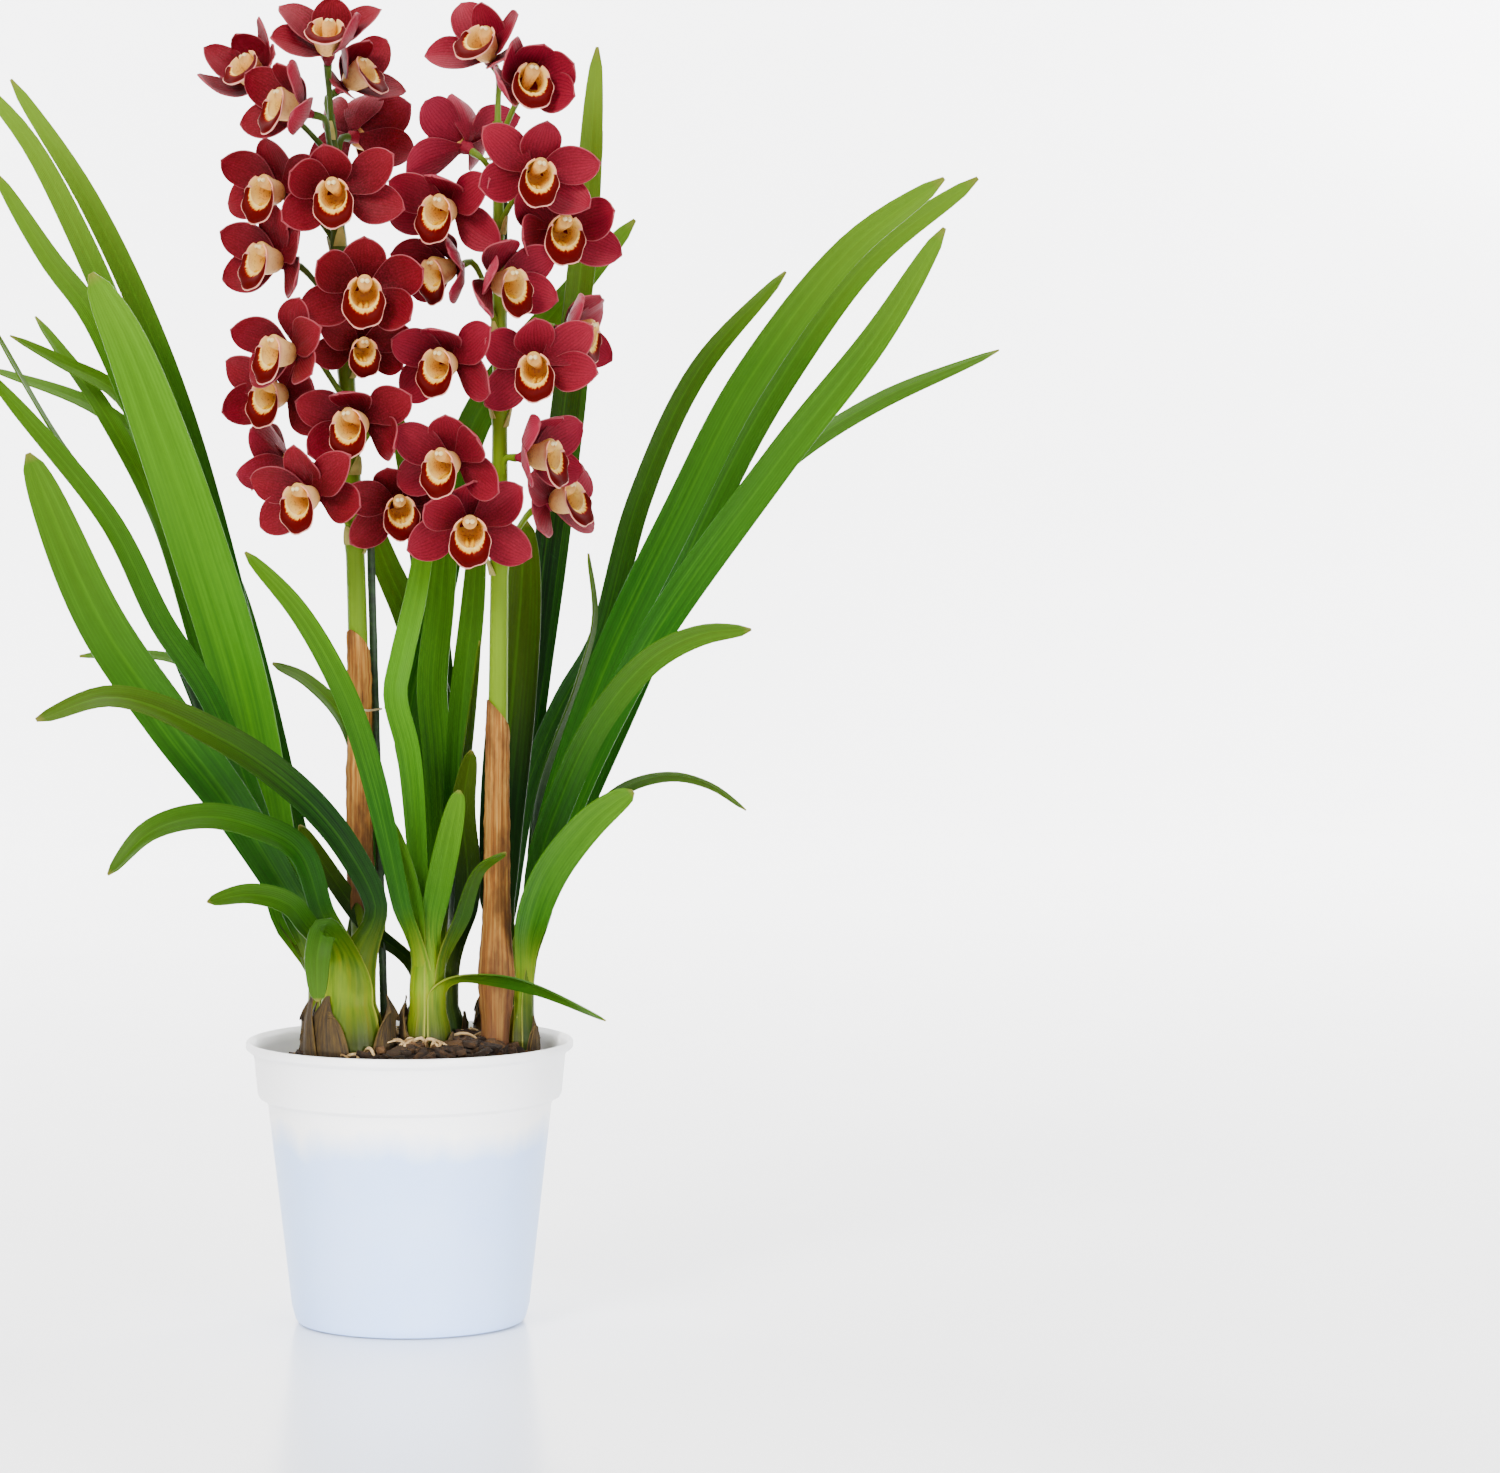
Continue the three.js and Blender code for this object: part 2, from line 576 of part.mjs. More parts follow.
// A bloom's stalk: out of the stem, up, and in line with the bloom where it meets its back.
function stalkSolid(stem, bloom) {
  const frame = bloomFrame(bloom);
  const end = new THREE.Vector3(0, MOUTH.y, -BLOOM_BACK).applyMatrix4(frame);
  const forward = new THREE.Vector3().setFromMatrixColumn(frame, 2).normalize();
  end.addScaledVector(forward, -SEAT_GAP);
  const before = end.clone().addScaledVector(forward, -STALK_LEAD);
  const startShare = shareAtHeight(stem, Math.min(end.z - bloom[8], stem.getPointAt(1).z - 2));
  const start = stem.getPointAt(startShare);
  const middle = start.clone().lerp(before, 0.5).add(new THREE.Vector3(0, 0, 1));
  const route = new THREE.CatmullRomCurve3([start, middle, before, end]);
  return tube(route, () => STALK_RADIUS, STALK_STEPS, STALK_SIDES);
}

function shareAtHeight(curve, z) {
  let [low, high] = [0, 1];
  for (let i = 0; i < 24; i++) {
    const middle = (low + high) / 2;
    if (curve.getPointAt(middle).z < z) low = middle;
    else high = middle;
  }
  return low;
}

function spikeSolid(spike) {
  const stem = curveThrough(spike.line);
  const stalks = spike.blooms.map((bloom) => stalkSolid(stem, bloom));
  const stalked = tube(stem, (share) => valueAt(spike.radius, share), STEM_STEPS, STEM_SIDES);
  return largestBody(fuse([stalked, ...stalks]));
}

// Stakes and ties: a plain rod beside each stem, held to it by one wire loop, and the dry papery
// sleeve that each stem still wears.

const STAKES = [
  { name: "left", foot: [-11, 11.5, 108], top: [-17.2, 14, 366], radius: 2 },
  { name: "right", foot: [41, 14, 108], top: [45, 4.6, 540], radius: 1.6 },
];
const TIES = [
  { name: "left", z: 281, wall: 0.9, height: 2 },
  { name: "right", z: 532, wall: 0.9, height: 2 },
];
const SLEEVES = [
  { name: "left", from: 190, to: 318, wall: [[0, 1.2], [0.5, 0.8], [1, 0.9]] },
  { name: "right", from: 134, to: 286, wall: [[0, 2.6], [0.25, 2.8], [0.45, 1], [1, 0.9]] },
];
const TIE_GAP = 0.35;

function stakeSolid({ foot, top, radius }) {
  const line = new THREE.LineCurve3(new THREE.Vector3(...foot), new THREE.Vector3(...top));
  return tube(line, () => radius, 1, 8);
}

// A loop round two rods side by side: two arcs joined by their tangents, as an extruded ring.
function tieSolid(tie, stemCurve, stemRadius, stake) {
  const stem = stemCurve.getPointAt(shareAtHeight(stemCurve, tie.z));
  const share = (tie.z - stake.foot[2]) / (stake.top[2] - stake.foot[2]);
  const rod = new THREE.Vector3(...stake.foot).lerp(new THREE.Vector3(...stake.top), share);
  const apart = Math.hypot(rod.x - stem.x, rod.y - stem.y);
  const heading = Math.atan2(rod.y - stem.y, rod.x - stem.x);
  const outline = (margin) => {
    const [big, small] = [stemRadius + margin, stake.radius + margin];
    const lean = Math.acos((big - small) / apart);
    const points = [];
    const [bigStep, smallStep] = [(2 * Math.PI - 2 * lean) / 6, (2 * lean) / 3];
    const [bigReach, smallReach] = [big / Math.cos(bigStep / 2), small / Math.cos(smallStep / 2)];
    for (let k = 0; k <= 6; k++) points.push([0, bigReach, lean + bigStep * k]);
    for (let k = 0; k <= 3; k++) points.push([apart, smallReach, -lean + smallStep * k]);
    return points.map(([x, r, turn]) => {
      const [along, side] = [x + r * Math.cos(turn), r * Math.sin(turn)];
      return new THREE.Vector2(
        stem.x + along * Math.cos(heading) - side * Math.sin(heading),
        stem.y + along * Math.sin(heading) + side * Math.cos(heading),
      );
    });
  };
  const shape = new THREE.Shape(outline(TIE_GAP + tie.wall));
  shape.holes.push(new THREE.Path(outline(TIE_GAP)));
  const geometry = new THREE.ExtrudeGeometry(shape, { depth: tie.height, bevelEnabled: false });
  geometry.translate(0, 0, tie.z - tie.height / 2);
  return solidOfGeometry(geometry);
}

function sleeveSolid(sleeve, spike) {
  const stem = curveThrough(spike.line);
  const [low, high] = [sleeve.from, sleeve.to].map((z) => shareAtHeight(stem, z));
  const along = (shares) =>
    new THREE.CatmullRomCurve3(shares.map((share) => stem.getPointAt(low + (high - low) * share)));
  const part = along([0, 0.25, 0.5, 0.75, 1]);
  const hole = along([-0.02, 0.25, 0.5, 0.75, 1.02]);
  const stemRadiusAt = (share) => valueAt(spike.radius, low + (high - low) * share);
  const outer = tube(part, (share) => stemRadiusAt(share) + SLEEVE_GAP + valueAt(sleeve.wall, share), 5, 8);
  const inner = tube(hole, (share) => stemRadiusAt(share) + SLEEVE_GAP, 4, 8);
  return outer.subtract(inner);
}

// Bark mix: a heaped body with loose chips on top, and a plain hole for each bulb, stem and stake

const SOIL_OUTSIDE = [
  [49.6, FLOOR_TOP + SEAT_GAP],
  [52.7, 9.3],
  [65 - POT_WALL - SEAT_GAP, SHOULDER_Z + 0.8],
  [69.4 - POT_WALL - 0.5, SHOULDER_Z + 5.2],
  [68.4, SOIL_EDGE_Z],
  [44, SOIL_CROWN_Z - 3],
];

function soilSolid() {
  const draw = seededDraw(7);
  let soil = lathe([[0, FLOOR_TOP + SEAT_GAP], ...SOIL_OUTSIDE, [0, SOIL_CROWN_Z]], POT_SIDES);
  for (let i = 0; i < CHIP_COUNT; i++) {
    const turn = 2 * Math.PI * draw();
    const radius = CHIP_SPREAD * Math.sqrt(0.04 + 0.96 * draw());
    const chip = new THREE.BoxGeometry(7 + 8 * draw(), 5 + 5 * draw(), 4 + 3 * draw());
    chip.rotateY(CHIP_TILT * (draw() - 0.5));
    chip.rotateX(CHIP_TILT * (draw() - 0.5));
    chip.rotateZ(2 * Math.PI * draw());
    const surface = valueAt([[0, SOIL_CROWN_Z], [44, SOIL_CROWN_Z - 3], [68, SOIL_EDGE_Z]], radius);
    chip.translate(radius * Math.cos(turn), radius * Math.sin(turn), surface + 0.5);
    soil = soil.add(solidOfGeometry(chip));
  }
  for (const { centre, radii } of GROWTHS) {
    const seat = post([0, 0, 0], 1, BULB_SIDES).scale([radii[0] + SEAT_GAP, radii[1] + SEAT_GAP, 1]);
    soil = soil.subtract(seat.translate([centre[0], centre[1], BULB_FOOT_Z - SEAT_GAP]));
  }
  for (const spike of SPIKES) {
    const [x, y, z] = spike.line[0];
    soil = soil.subtract(post([x, y, z - SEAT_GAP], spike.radius[0][1] + 0.8, 10));
  }
  for (const stake of STAKES) {
    const [x, y, z] = stake.foot;
    soil = soil.subtract(post([x, y, z - SEAT_GAP], stake.radius + 0.7, 8));
  }
  return largestBody(soil);
}

// An upright round post from a foot to well above the bark.
const POST_HEIGHT = 60;
const post = ([x, y, z], radius, sides) =>
  lathe([[0, 0], [radius, 0], [radius, POST_HEIGHT], [0, POST_HEIGHT]], sides).translate([x, y, z]);

// The plant

const plant = new THREE.Group();

function addPart(name, solid, material) {
  const mesh = new THREE.Mesh(geometryOfSolid(solid), material);
  mesh.name = name;
  plant.add(mesh);
}

addPart("pot", potSolid(), potPlastic);
addPart("bark_mix", soilSolid(), barkMix);
for (const growth of GROWTHS) {
  addPart(`bulb_${growth.name}`, bulbSolid(growth, 0), bulbSkin);
  addPart(`leaves_${growth.name}`, fanSolid(growth), leafGreen);
}
const template = bloomTemplate();
SPIKES.forEach((spike, side) => {
  const stem = curveThrough(spike.line);
  const tieShare = shareAtHeight(stem, TIES[side].z);
  const sleeved = TIES[side].z < SLEEVES[side].to ? SLEEVE_GAP + SLEEVES[side].wall.at(-1)[1] : 0;
  addPart(`spike_${spike.name}`, spikeSolid(spike), stemGreen);
  addPart(`sleeve_${spike.name}`, sleeveSolid(SLEEVES[side], spike), dryBract);
  addPart(`stake_${spike.name}`, stakeSolid(STAKES[side]), stakeGreen);
  const tiedRadius = valueAt(spike.radius, tieShare) + sleeved;
  addPart(`tie_${spike.name}`, tieSolid(TIES[side], stem, tiedRadius, STAKES[side]), tieWire);
  for (const bloom of spike.blooms) {
    addPart(`bloom_${spike.name}_${bloom[0]}`, placed(template, bloomFrame(bloom)), petalRed);
  }
});

export default plant;
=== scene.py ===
import math
import random
from collections import namedtuple

import bmesh
import bpy
from mathutils import Matrix, Quaternion, Vector


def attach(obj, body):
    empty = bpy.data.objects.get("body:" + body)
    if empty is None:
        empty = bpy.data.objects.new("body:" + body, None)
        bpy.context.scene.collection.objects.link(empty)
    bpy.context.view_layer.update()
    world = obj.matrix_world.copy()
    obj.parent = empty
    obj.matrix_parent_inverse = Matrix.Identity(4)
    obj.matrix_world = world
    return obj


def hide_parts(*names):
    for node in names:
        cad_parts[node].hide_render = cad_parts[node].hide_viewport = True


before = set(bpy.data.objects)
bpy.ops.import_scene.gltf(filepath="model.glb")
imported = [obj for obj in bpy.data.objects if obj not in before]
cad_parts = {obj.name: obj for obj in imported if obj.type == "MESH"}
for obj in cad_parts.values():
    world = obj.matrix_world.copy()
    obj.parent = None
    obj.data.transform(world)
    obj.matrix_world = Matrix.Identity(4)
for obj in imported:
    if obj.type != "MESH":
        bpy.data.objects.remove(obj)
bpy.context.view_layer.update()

# The plant and its pot are in millimetres, as a grower would measure them. Each finished piece is
# brought to metres at the end. The studio and the materials are in metres.
MM = 0.001
VIEWER = Vector((0, -1, 0))
UP = Vector((0, 0, 1))


def placed(name, data):
    """A new object in the scene that holds this data."""
    made = bpy.data.objects.new(name, data)
    bpy.context.collection.objects.link(made)
    return made


def aimed(name, data, place, aim):
    """A camera or lamp at a place, turned to an aim."""
    made = placed(name, data)
    made.location = place
    made.rotation_euler = (Vector(aim) - Vector(place)).to_track_quat("-Z", "Y").to_euler()
    return made


# Camera and studio

camera_data = bpy.data.cameras.new("camera")
camera_data.sensor_width = 36
camera_data.lens = 136.59
camera_data.clip_end = 50
bpy.context.scene.camera = aimed("camera", camera_data, (0, -2.6, 0.454), (0.1564, 0, 0.2685))


def linear(colour):
    """An sRGB hex colour as the linear colour that Blender's sockets take."""
    parts = [int(colour[i : i + 2], 16) / 255 for i in (1, 3, 5)]
    return (*(p / 12.92 if p <= 0.04045 else ((p + 0.055) / 1.055) ** 2.4 for p in parts), 1)


def studio_light(name, place, aim, size, watts, colour):
    light = bpy.data.lights.new(name, "AREA")
    light.shape = "DISK"
    light.size = size
    light.energy = watts
    light.color = linear(colour)[:3]
    aimed(name, light, place, aim)


def pot_spot(place):
    """A narrow lamp on the pot alone. Its light ends just above the rim."""
    light = bpy.data.lights.new("pot_spot", "SPOT")
    light.energy = 150
    light.spot_size = math.radians(12)
    light.spot_blend = 0.35
    light.shadow_soft_size = 0.05
    aimed("pot_spot", light, place, (0, -0.05, 0.012))


studio_light("key_softbox", (-1.3, -2.0, 2.1), (0.02, 0, 0.35), 1.1, 96, "#fffaf3")
studio_light("fill_softbox", (1.9, -1.8, 1.0), (0.02, 0, 0.3), 1.6, 26, "#f5f8ff")
studio_light("top_softbox", (0.2, 0.3, 2.4), (0, 0, 0.3), 1.5, 56, "#ffffff")
for side in (-1.8, 1.8):
    studio_light("backdrop_light", (side, 1.9, 1.7), (side * 0.2, 3.6, 0.6), 1.2, 210, "#ffffff")
for side in (-0.75, 0.75):
    pot_spot((side, -1.35, 0.2))

world = bpy.data.worlds.new("studio")
bpy.context.scene.world = world
world.use_nodes = True
sky = world.node_tree.nodes["Background"].inputs
sky["Color"].default_value = linear("#fdfdff")
sky["Strength"].default_value = 0.72


# Materials


class Output:
    """One output of a shader node. Arithmetic on it adds the nodes that work it out."""

    def __init__(self, tree, socket):
        self.tree = tree
        self.socket = socket

    def maths(self, operation, other=0.5):
        return node_output(self.tree, "Math", {"operation": operation, 0: self, 1: other})

    def __add__(self, other):
        return self.maths("ADD", other)

    def __sub__(self, other):
        return self.maths("SUBTRACT", other)

    def __rsub__(self, other):
        return self.maths("MULTIPLY", -1) + other

    def __mul__(self, other):
        return self.maths("MULTIPLY", other)

    def between(self, start, end):
        """How far it has come from start to end, from 0 to 1."""
        return node_output(self.tree, "MapRange", {"From Min": start, "From Max": end, "Value": self})


def add_node(tree, kind, settings):
    """One shader node. A setting is a property, a colour ramp's stops, or what feeds an input: a value,
    a hex colour or another node's output."""
    made = tree.nodes.new("ShaderNode" + kind)
    for name, value in settings.items():
        if name == "stops":
            stops = made.color_ramp.elements
            stops[0].position, stops[0].color = value[0][0], linear(value[0][1])
            stops[1].position, stops[1].color = value[-1][0], linear(value[-1][1])
            for place, colour in value[1:-1]:
                stops.new(place).color = linear(colour)
        elif not isinstance(name, int) and name not in made.inputs:
            setattr(made, name, value)
        elif isinstance(value, Output):
            tree.links.new(value.socket, made.inputs[name])
        else:
            made.inputs[name].default_value = linear(value) if isinstance(value, str) else value
    return made


def node_output(tree, kind, settings, which=0):
    return Output(tree, add_node(tree, kind, settings).outputs[which])


def surface(name, **settings):
    """A new material, its shader, and the place in the piece that its patterns start from. Settings
    are the shader's inputs, with _ for a space."""
    made = bpy.data.materials.new(name)
    made.use_nodes = True
    tree = made.node_tree
    tree.nodes.clear()
    shader = add_node(tree, "BsdfPrincipled", {k.replace("_", " "): v for k, v in settings.items()})
    add_node(tree, "OutputMaterial", {"Surface": Output(tree, shader.outputs[0])})
    return made, shader, node_output(tree, "TexCoord", {}, "Object")


def dressed(made, shader, colour, height=None, depth_mm=0.1, strength=1.0):
    """The material with its colour, and with a relief of a real depth if it has a height."""
    made.node_tree.links.new(colour.socket, shader.inputs["Base Color"])
    if height:
        settings = {"Strength": strength, "Distance": depth_mm * MM, "Height": height}
        bump = add_node(made.node_tree, "Bump", settings)
        made.node_tree.links.new(bump.outputs[0], shader.inputs["Normal"])
    return made


def blend(first, second, share):
    """The first colour with a share of the second; each is a hex colour or a node's output."""
    return node_output(share.tree, "Mix", {"data_type": "RGBA", 0: share, 6: first, 7: second}, 2)


def ramp(share, stops):
    return node_output(share.tree, "ValToRGB", {"stops": stops, "Fac": share})


def noise(coordinates, scale, detail=3.0, roughness=0.55):
    settings = {"Scale": scale, "Detail": detail, "Roughness": roughness, "Vector": coordinates}
    return node_output(coordinates.tree, "TexNoise", settings, "Fac")


def stretched(coordinates, scale):
    return node_output(coordinates.tree, "Mapping", {"Scale": scale, "Vector": coordinates})


def height_of(place):
    return node_output(place.tree, "SeparateXYZ", {0: place}, 2)


def labelled(place, name):
    """A number that each vertex of the piece keeps."""
    return node_output(place.tree, "Attribute", {"attribute_name": name}, "Fac")


def blade_coordinates(place):
    """The spot on a leaf or petal, how far across and along it that is from 0 to 1, and how far off
    its midline from 0 to 1."""
    uv = node_output(place.tree, "UVMap", {"uv_map": "UVMap"})
    across = node_output(place.tree, "SeparateXYZ", {0: uv}, 0)
    along = node_output(place.tree, "SeparateXYZ", {0: uv}, 1)
    return uv, across, along, (across - 0.5).maths("ABSOLUTE") * 2


def veins(across, count):
    """Even waves across a leaf or petal, from 0 to 1."""
    return (across * (2 * math.pi * count)).maths("SINE") * 0.5 + 0.5


# Fresh petal: thin waxy plant tissue grown smooth. It gives a soft velvet gloss, fine darker veins
# about 1.5 mm apart that run its length, and a thin pale edge.
def petal_surface(name, base, middle, tip, pink, edge, vein):
    made, shader, place = surface(name, Roughness=0.55, IOR=1.42, Specular_IOR_Level=0.14)
    _, across, along, off_middle = blade_coordinates(place)
    cloud = noise(place, 90)
    grain = noise(place, 1300, 2)
    lines = veins(across + cloud * 0.05, 12).maths("POWER", 3)
    rim = off_middle.maths("MAXIMUM", along).between(0.955, 1.0)
    colour = ramp(along, [(0, base), (0.3, base), (0.66, middle), (1, tip)])
    colour = blend(colour, pink, labelled(place, "tone") * (along * 0.7 + 0.15))
    colour = blend(colour, middle, cloud * 0.35)
    colour = blend(colour, vein, lines * 0.34)
    colour = blend(colour, pink, (grain - 0.42) * 0.9)
    colour = blend(colour, edge, rim * 0.4)
    return dressed(made, shader, colour, lines * -0.6 + grain, 0.14, 0.7)


PETAL_FACE = petal_surface("petal_face", "#3b0204", "#5e0409", "#770a14", "#a4203e", "#c4656c", "#2c0103")
PETAL_BACK = petal_surface("petal_back", "#56060e", "#700a17", "#8a162b", "#b3304e", "#c46a72", "#44040b")


# Lip throat and column: the same thin tissue, waxy and pale, spotted brown towards the throat's depth.
def throat_surface(name, stops, spots):
    made, shader, place = surface(
        name, Roughness=0.5, IOR=1.42, Specular_IOR_Level=0.2, Subsurface_Weight=0.1,
        Subsurface_Radius=(0.002, 0.001, 0.0005),
    )
    _, _, along, _ = blade_coordinates(place)
    speckle = noise(place, 900, 2)
    colour = blend(ramp(along, stops), spots, speckle.maths("GREATER_THAN", 0.58) * (1 - along))
    colour = blend(colour, "#ffdf9c", noise(place, 160) * 0.2)
    return dressed(made, shader, colour, speckle, 0.1, 0.5)


THROAT_OUTSIDE = throat_surface(
    "throat_outside", [(0, "#e0a050"), (0.4, "#f5b966"), (0.85, "#ffc885"), (1, "#f59c7c")], "#d08a58"
)
THROAT_INSIDE = throat_surface(
    "throat_inside",
    [(0, "#a8640c"), (0.2, "#cf8d1c"), (0.45, "#f0b640"), (0.75, "#ffd870"), (1, "#ffd58a")],
    "#9a5512",
)
COLUMN_SKIN = throat_surface(
    "column_skin", [(0, "#d89838"), (0.6, "#f2c068"), (0.85, "#f0ba60"), (1, "#b8782c")], "#a8622a"
)

TONGUE_SHADES = [
    (0, "#f7dc86"), (0.16, "#ecb94a"), (0.25, "#8e1c04"), (0.34, "#560001"), (0.8, "#4a0001"), (1, "#5c0204"),
]


# Lip tongue: waxy tissue, dark red with a cream root, streaks where they meet and a pale frill.
def lip_surface():
    made, shader, place = surface("lip_tongue", Roughness=0.55, IOR=1.42, Specular_IOR_Level=0.07)
    uv, _, along, off_middle = blade_coordinates(place)
    streaks = noise(stretched(uv, (26, 3, 1)), 1, 2)
    rim = off_middle.maths("MAXIMUM", along).between(0.91, 0.96)
    colour = blend(ramp((streaks - 0.5) * 0.4 + along, TONGUE_SHADES), "#e9a08e", rim)
    return dressed(made, shader, colour, noise(place, 800), 0.12, 0.6)


LIP_TONGUE = lip_surface()


def plain_tissue(name, light, dark, size_mm, roughness=0.5):
    """Plain plant tissue: two near colours in soft patches of a real size, and a fine grain."""
    made, shader, place = surface(name, Roughness=roughness, IOR=1.42)
    colour = ramp(noise(place, 1 / (size_mm * MM)), [(0.3, dark), (0.7, light)])
    return dressed(made, shader, colour, noise(place, 900), 0.1, 0.5)


ANTHER_CAP = plain_tissue("anther_cap", "#f7e6b0", "#eccd84", 2, 0.65)
CALLUS = plain_tissue("callus_ridge", "#f2c522", "#dfa012", 2)
STALK_PALE = plain_tissue("stalk_pale", "#b5b552", "#8f963a", 9)
STALK_DARK = plain_tissue("stalk_dark", "#4f5a20", "#2f3016", 9)
STEM_BRACT = plain_tissue("stem_bract", "#b3a85a", "#7f8036", 6, 0.7)

SHEATH_SHADES = [(0.35, "#4a6804"), (0.52, "#6d8406"), (0.68, "#848408")]


# Strap leaf: tough cuticle with a wax gloss. Its parallel veins are about 1 mm apart and its midrib is
# a little paler. Painted shade darkens it low down among the others, and painted light makes it lighter
# high up. Its sheath is yellower, brown at the bark, with a pale margin.
def leaf_surface(name, dark, middle, light, gloss):
    made, shader, place = surface(name, Roughness=gloss, IOR=1.45, Specular_IOR_Level=0.12)
    uv, across, along, off_middle = blade_coordinates(place)
    height = height_of(place)
    # The leaf's tone: partly its own colour, partly painted shade on the leaves that stand behind.
    leaf_tone_and_shade = labelled(place, "tone")
    long_cloud = noise(stretched(uv, (5, 2.2, 1)), 1.3)
    fibres = noise(stretched(uv, (60, 1.6, 1)), 1, 2)
    lines = veins(across, 13)
    tone = leaf_tone_and_shade + (long_cloud - 0.5) * 0.5 + (fibres - 0.5) * 0.22 - lines * 0.06
    colour = ramp(tone, [(0.05, dark), (0.5, middle), (0.95, light)])
    colour = blend(colour, light, off_middle.between(0.1, 0.03) * 0.14)
    colour = blend(colour, "#7ea012", along.between(0.5, 1.0) * 0.26)
    # Painted light: the leaves are lighter high up, from 440 to 570 mm, where they stand in fuller light.
    colour = blend(colour, "#80a428", height.between(0.44, 0.57) * 0.5)
    # Painted shade: the leaves are darker low down, below 310 mm, where the others shade them.
    colour = blend(colour, dark, height.between(0.31, 0.16) * 0.45)
    sheath = blend(ramp(long_cloud, SHEATH_SHADES), "#241806", height.between(0.154, 0.132) * 0.92)
    # A darker leaf has a darker sheath: partly its own colour, partly the same painted shade.
    sheath = blend(sheath, "#16300a", (0.55 - leaf_tone_and_shade) * 1.6)
    sheath = blend(sheath, "#a3a040", off_middle.between(0.88, 1.0) * 0.6)
    colour = blend(colour, sheath, labelled(place, "clasp") * 0.9)
    colour = blend(colour, "#8a7a3a", along.between(0.985, 1.0) * 0.6)
    return dressed(made, shader, colour, lines + fibres, 0.12, 0.4)


LEAF_FACE = leaf_surface("leaf_face", "#072203", "#215a08", "#549714", 0.46)
LEAF_UNDERSIDE = leaf_surface("leaf_underside", "#103404", "#2e6604", "#62950c", 0.52)


# Flower stem: smooth round green tissue, darker where the leaves shade its foot, faintly ribbed along
# its length. It changes from its low colour to its high one over 120 mm.
def stem_surface(name, low, high, change_z):
    made, shader, place = surface(name, Roughness=0.45, IOR=1.43, Specular_IOR_Level=0.2)
    height = height_of(place)
    ribs = noise(stretched(place, (900, 900, 14)), 1, 2)
    colour = blend(low, high, height.between((change_z - 60) * MM, (change_z + 60) * MM))
    colour = blend(colour, "#24320a", height.between(0.215, 0.19) * 0.7)
    colour = blend(colour, "#3f5c0c", (ribs - 0.35) * 0.7)
    return dressed(made, shader, colour, ribs, 0.15, 0.6)


STEM_LEFT = stem_surface("stem_left", "#688a14", "#3d5212", 420)
STEM_RIGHT = stem_surface("stem_right", "#739412", "#627c20", 430)


# Dry bract: dead papery leaf sheath, matt, with long fibres and brown stains, browner at its foot.
def dry_surface(name, pale, tan, brown):
    made, shader, place = surface(name, Roughness=0.78, IOR=1.4)
    uv, _, along, off_middle = blade_coordinates(place)
    fibres = noise(stretched(uv, (30, 2.4, 1)), 1, 4, 0.65)
    stains = noise(stretched(place, (130, 130, 46)), 1, 4, 0.6)
    colour = ramp(fibres, [(0.28, brown), (0.45, tan), (0.7, pale)])
    colour = blend(colour, brown, stains.between(0.44, 0.62) * 0.6)
    colour = blend(colour, brown, along.between(0.5, 0.0) * 0.8)
    colour = blend(colour, pale, off_middle.between(0.93, 1.0) * 0.5)
    return dressed(made, shader, colour, fibres + stains, 0.6, 0.8)


SLEEVE_PAPER = dry_surface("sleeve_paper", "#cb9a48", "#945a1a", "#371a05")
BULB_BRACT = dry_surface("bulb_bract", "#574212", "#33240a", "#150c04")


# Bulb skin: firm waxy tissue, yellow green, with shallow lengthwise furrows about 3 mm apart.
def bulb_surface():
    made, shader, place = surface("bulb_skin", Roughness=0.5, IOR=1.43)
    furrows = noise(stretched(place, (330, 330, 30)), 1, 3)
    colour = blend("#4a3a0e", "#9a9206", height_of(place).between(0.122, 0.142))
    colour = blend(colour, "#4e5418", (furrows - 0.4) * 1.4)
    return dressed(made, shader, colour, furrows, 0.8, 0.6)


BULB_SKIN = bulb_surface()


# Bark chip: torn conifer bark, rough and dark, redder on a fresh break, in lumps about 4 mm wide.
def bark_surface():
    made, shader, place = surface("bark_chip", Roughness=0.92, IOR=1.4)
    lumps = noise(place, 260, 5, 0.65)
    colour = ramp(lumps, [(0.3, "#0d0703"), (0.5, "#1f1308"), (0.66, "#402a13"), (0.8, "#6a4a28")])
    colour = blend(colour, "#7a5630", labelled(place, "tone") * 0.35)
    return dressed(made, shader, colour, lumps, 1.2, 0.9)


BARK_CHIP = bark_surface()
ROOT_SKIN = plain_tissue("root_skin", "#c9ac7c", "#8a683c", 5, 0.8)
ROOT_OLD = plain_tissue("root_old", "#5a3a20", "#2c1a0e", 5, 0.85)


# Pot: injection moulded polypropylene, milky and a little see-through. It gives a soft gloss and a faint
# satin grain. Up to the level of the moist mix behind the wall it has a painted bluish shadow of the mix.
def pot_surface():
    made, shader, place = surface(
        "moulded_polypropylene", Roughness=0.36, IOR=1.49, Subsurface_Weight=0.25,
        Subsurface_Radius=(0.006, 0.006, 0.007),
    )
    wave = noise(stretched(place, (42, 42, 20)), 1, 3)
    level = (wave - 0.5) * 0.02 + height_of(place)
    # Painted shadow: a bluish shade below the level of the mix, where the dark mix behind the wall dims it.
    painted_mix_shadow = blend("#a6c6f8", "#bcd4fb", noise(place, 30, 3))
    colour = blend(painted_mix_shadow, "#f8f8f9", level.between(0.082, 0.096))
    return dressed(made, shader, colour, noise(place, 2200, 2), 0.03, 0.3)


POT_PLASTIC = pot_surface()


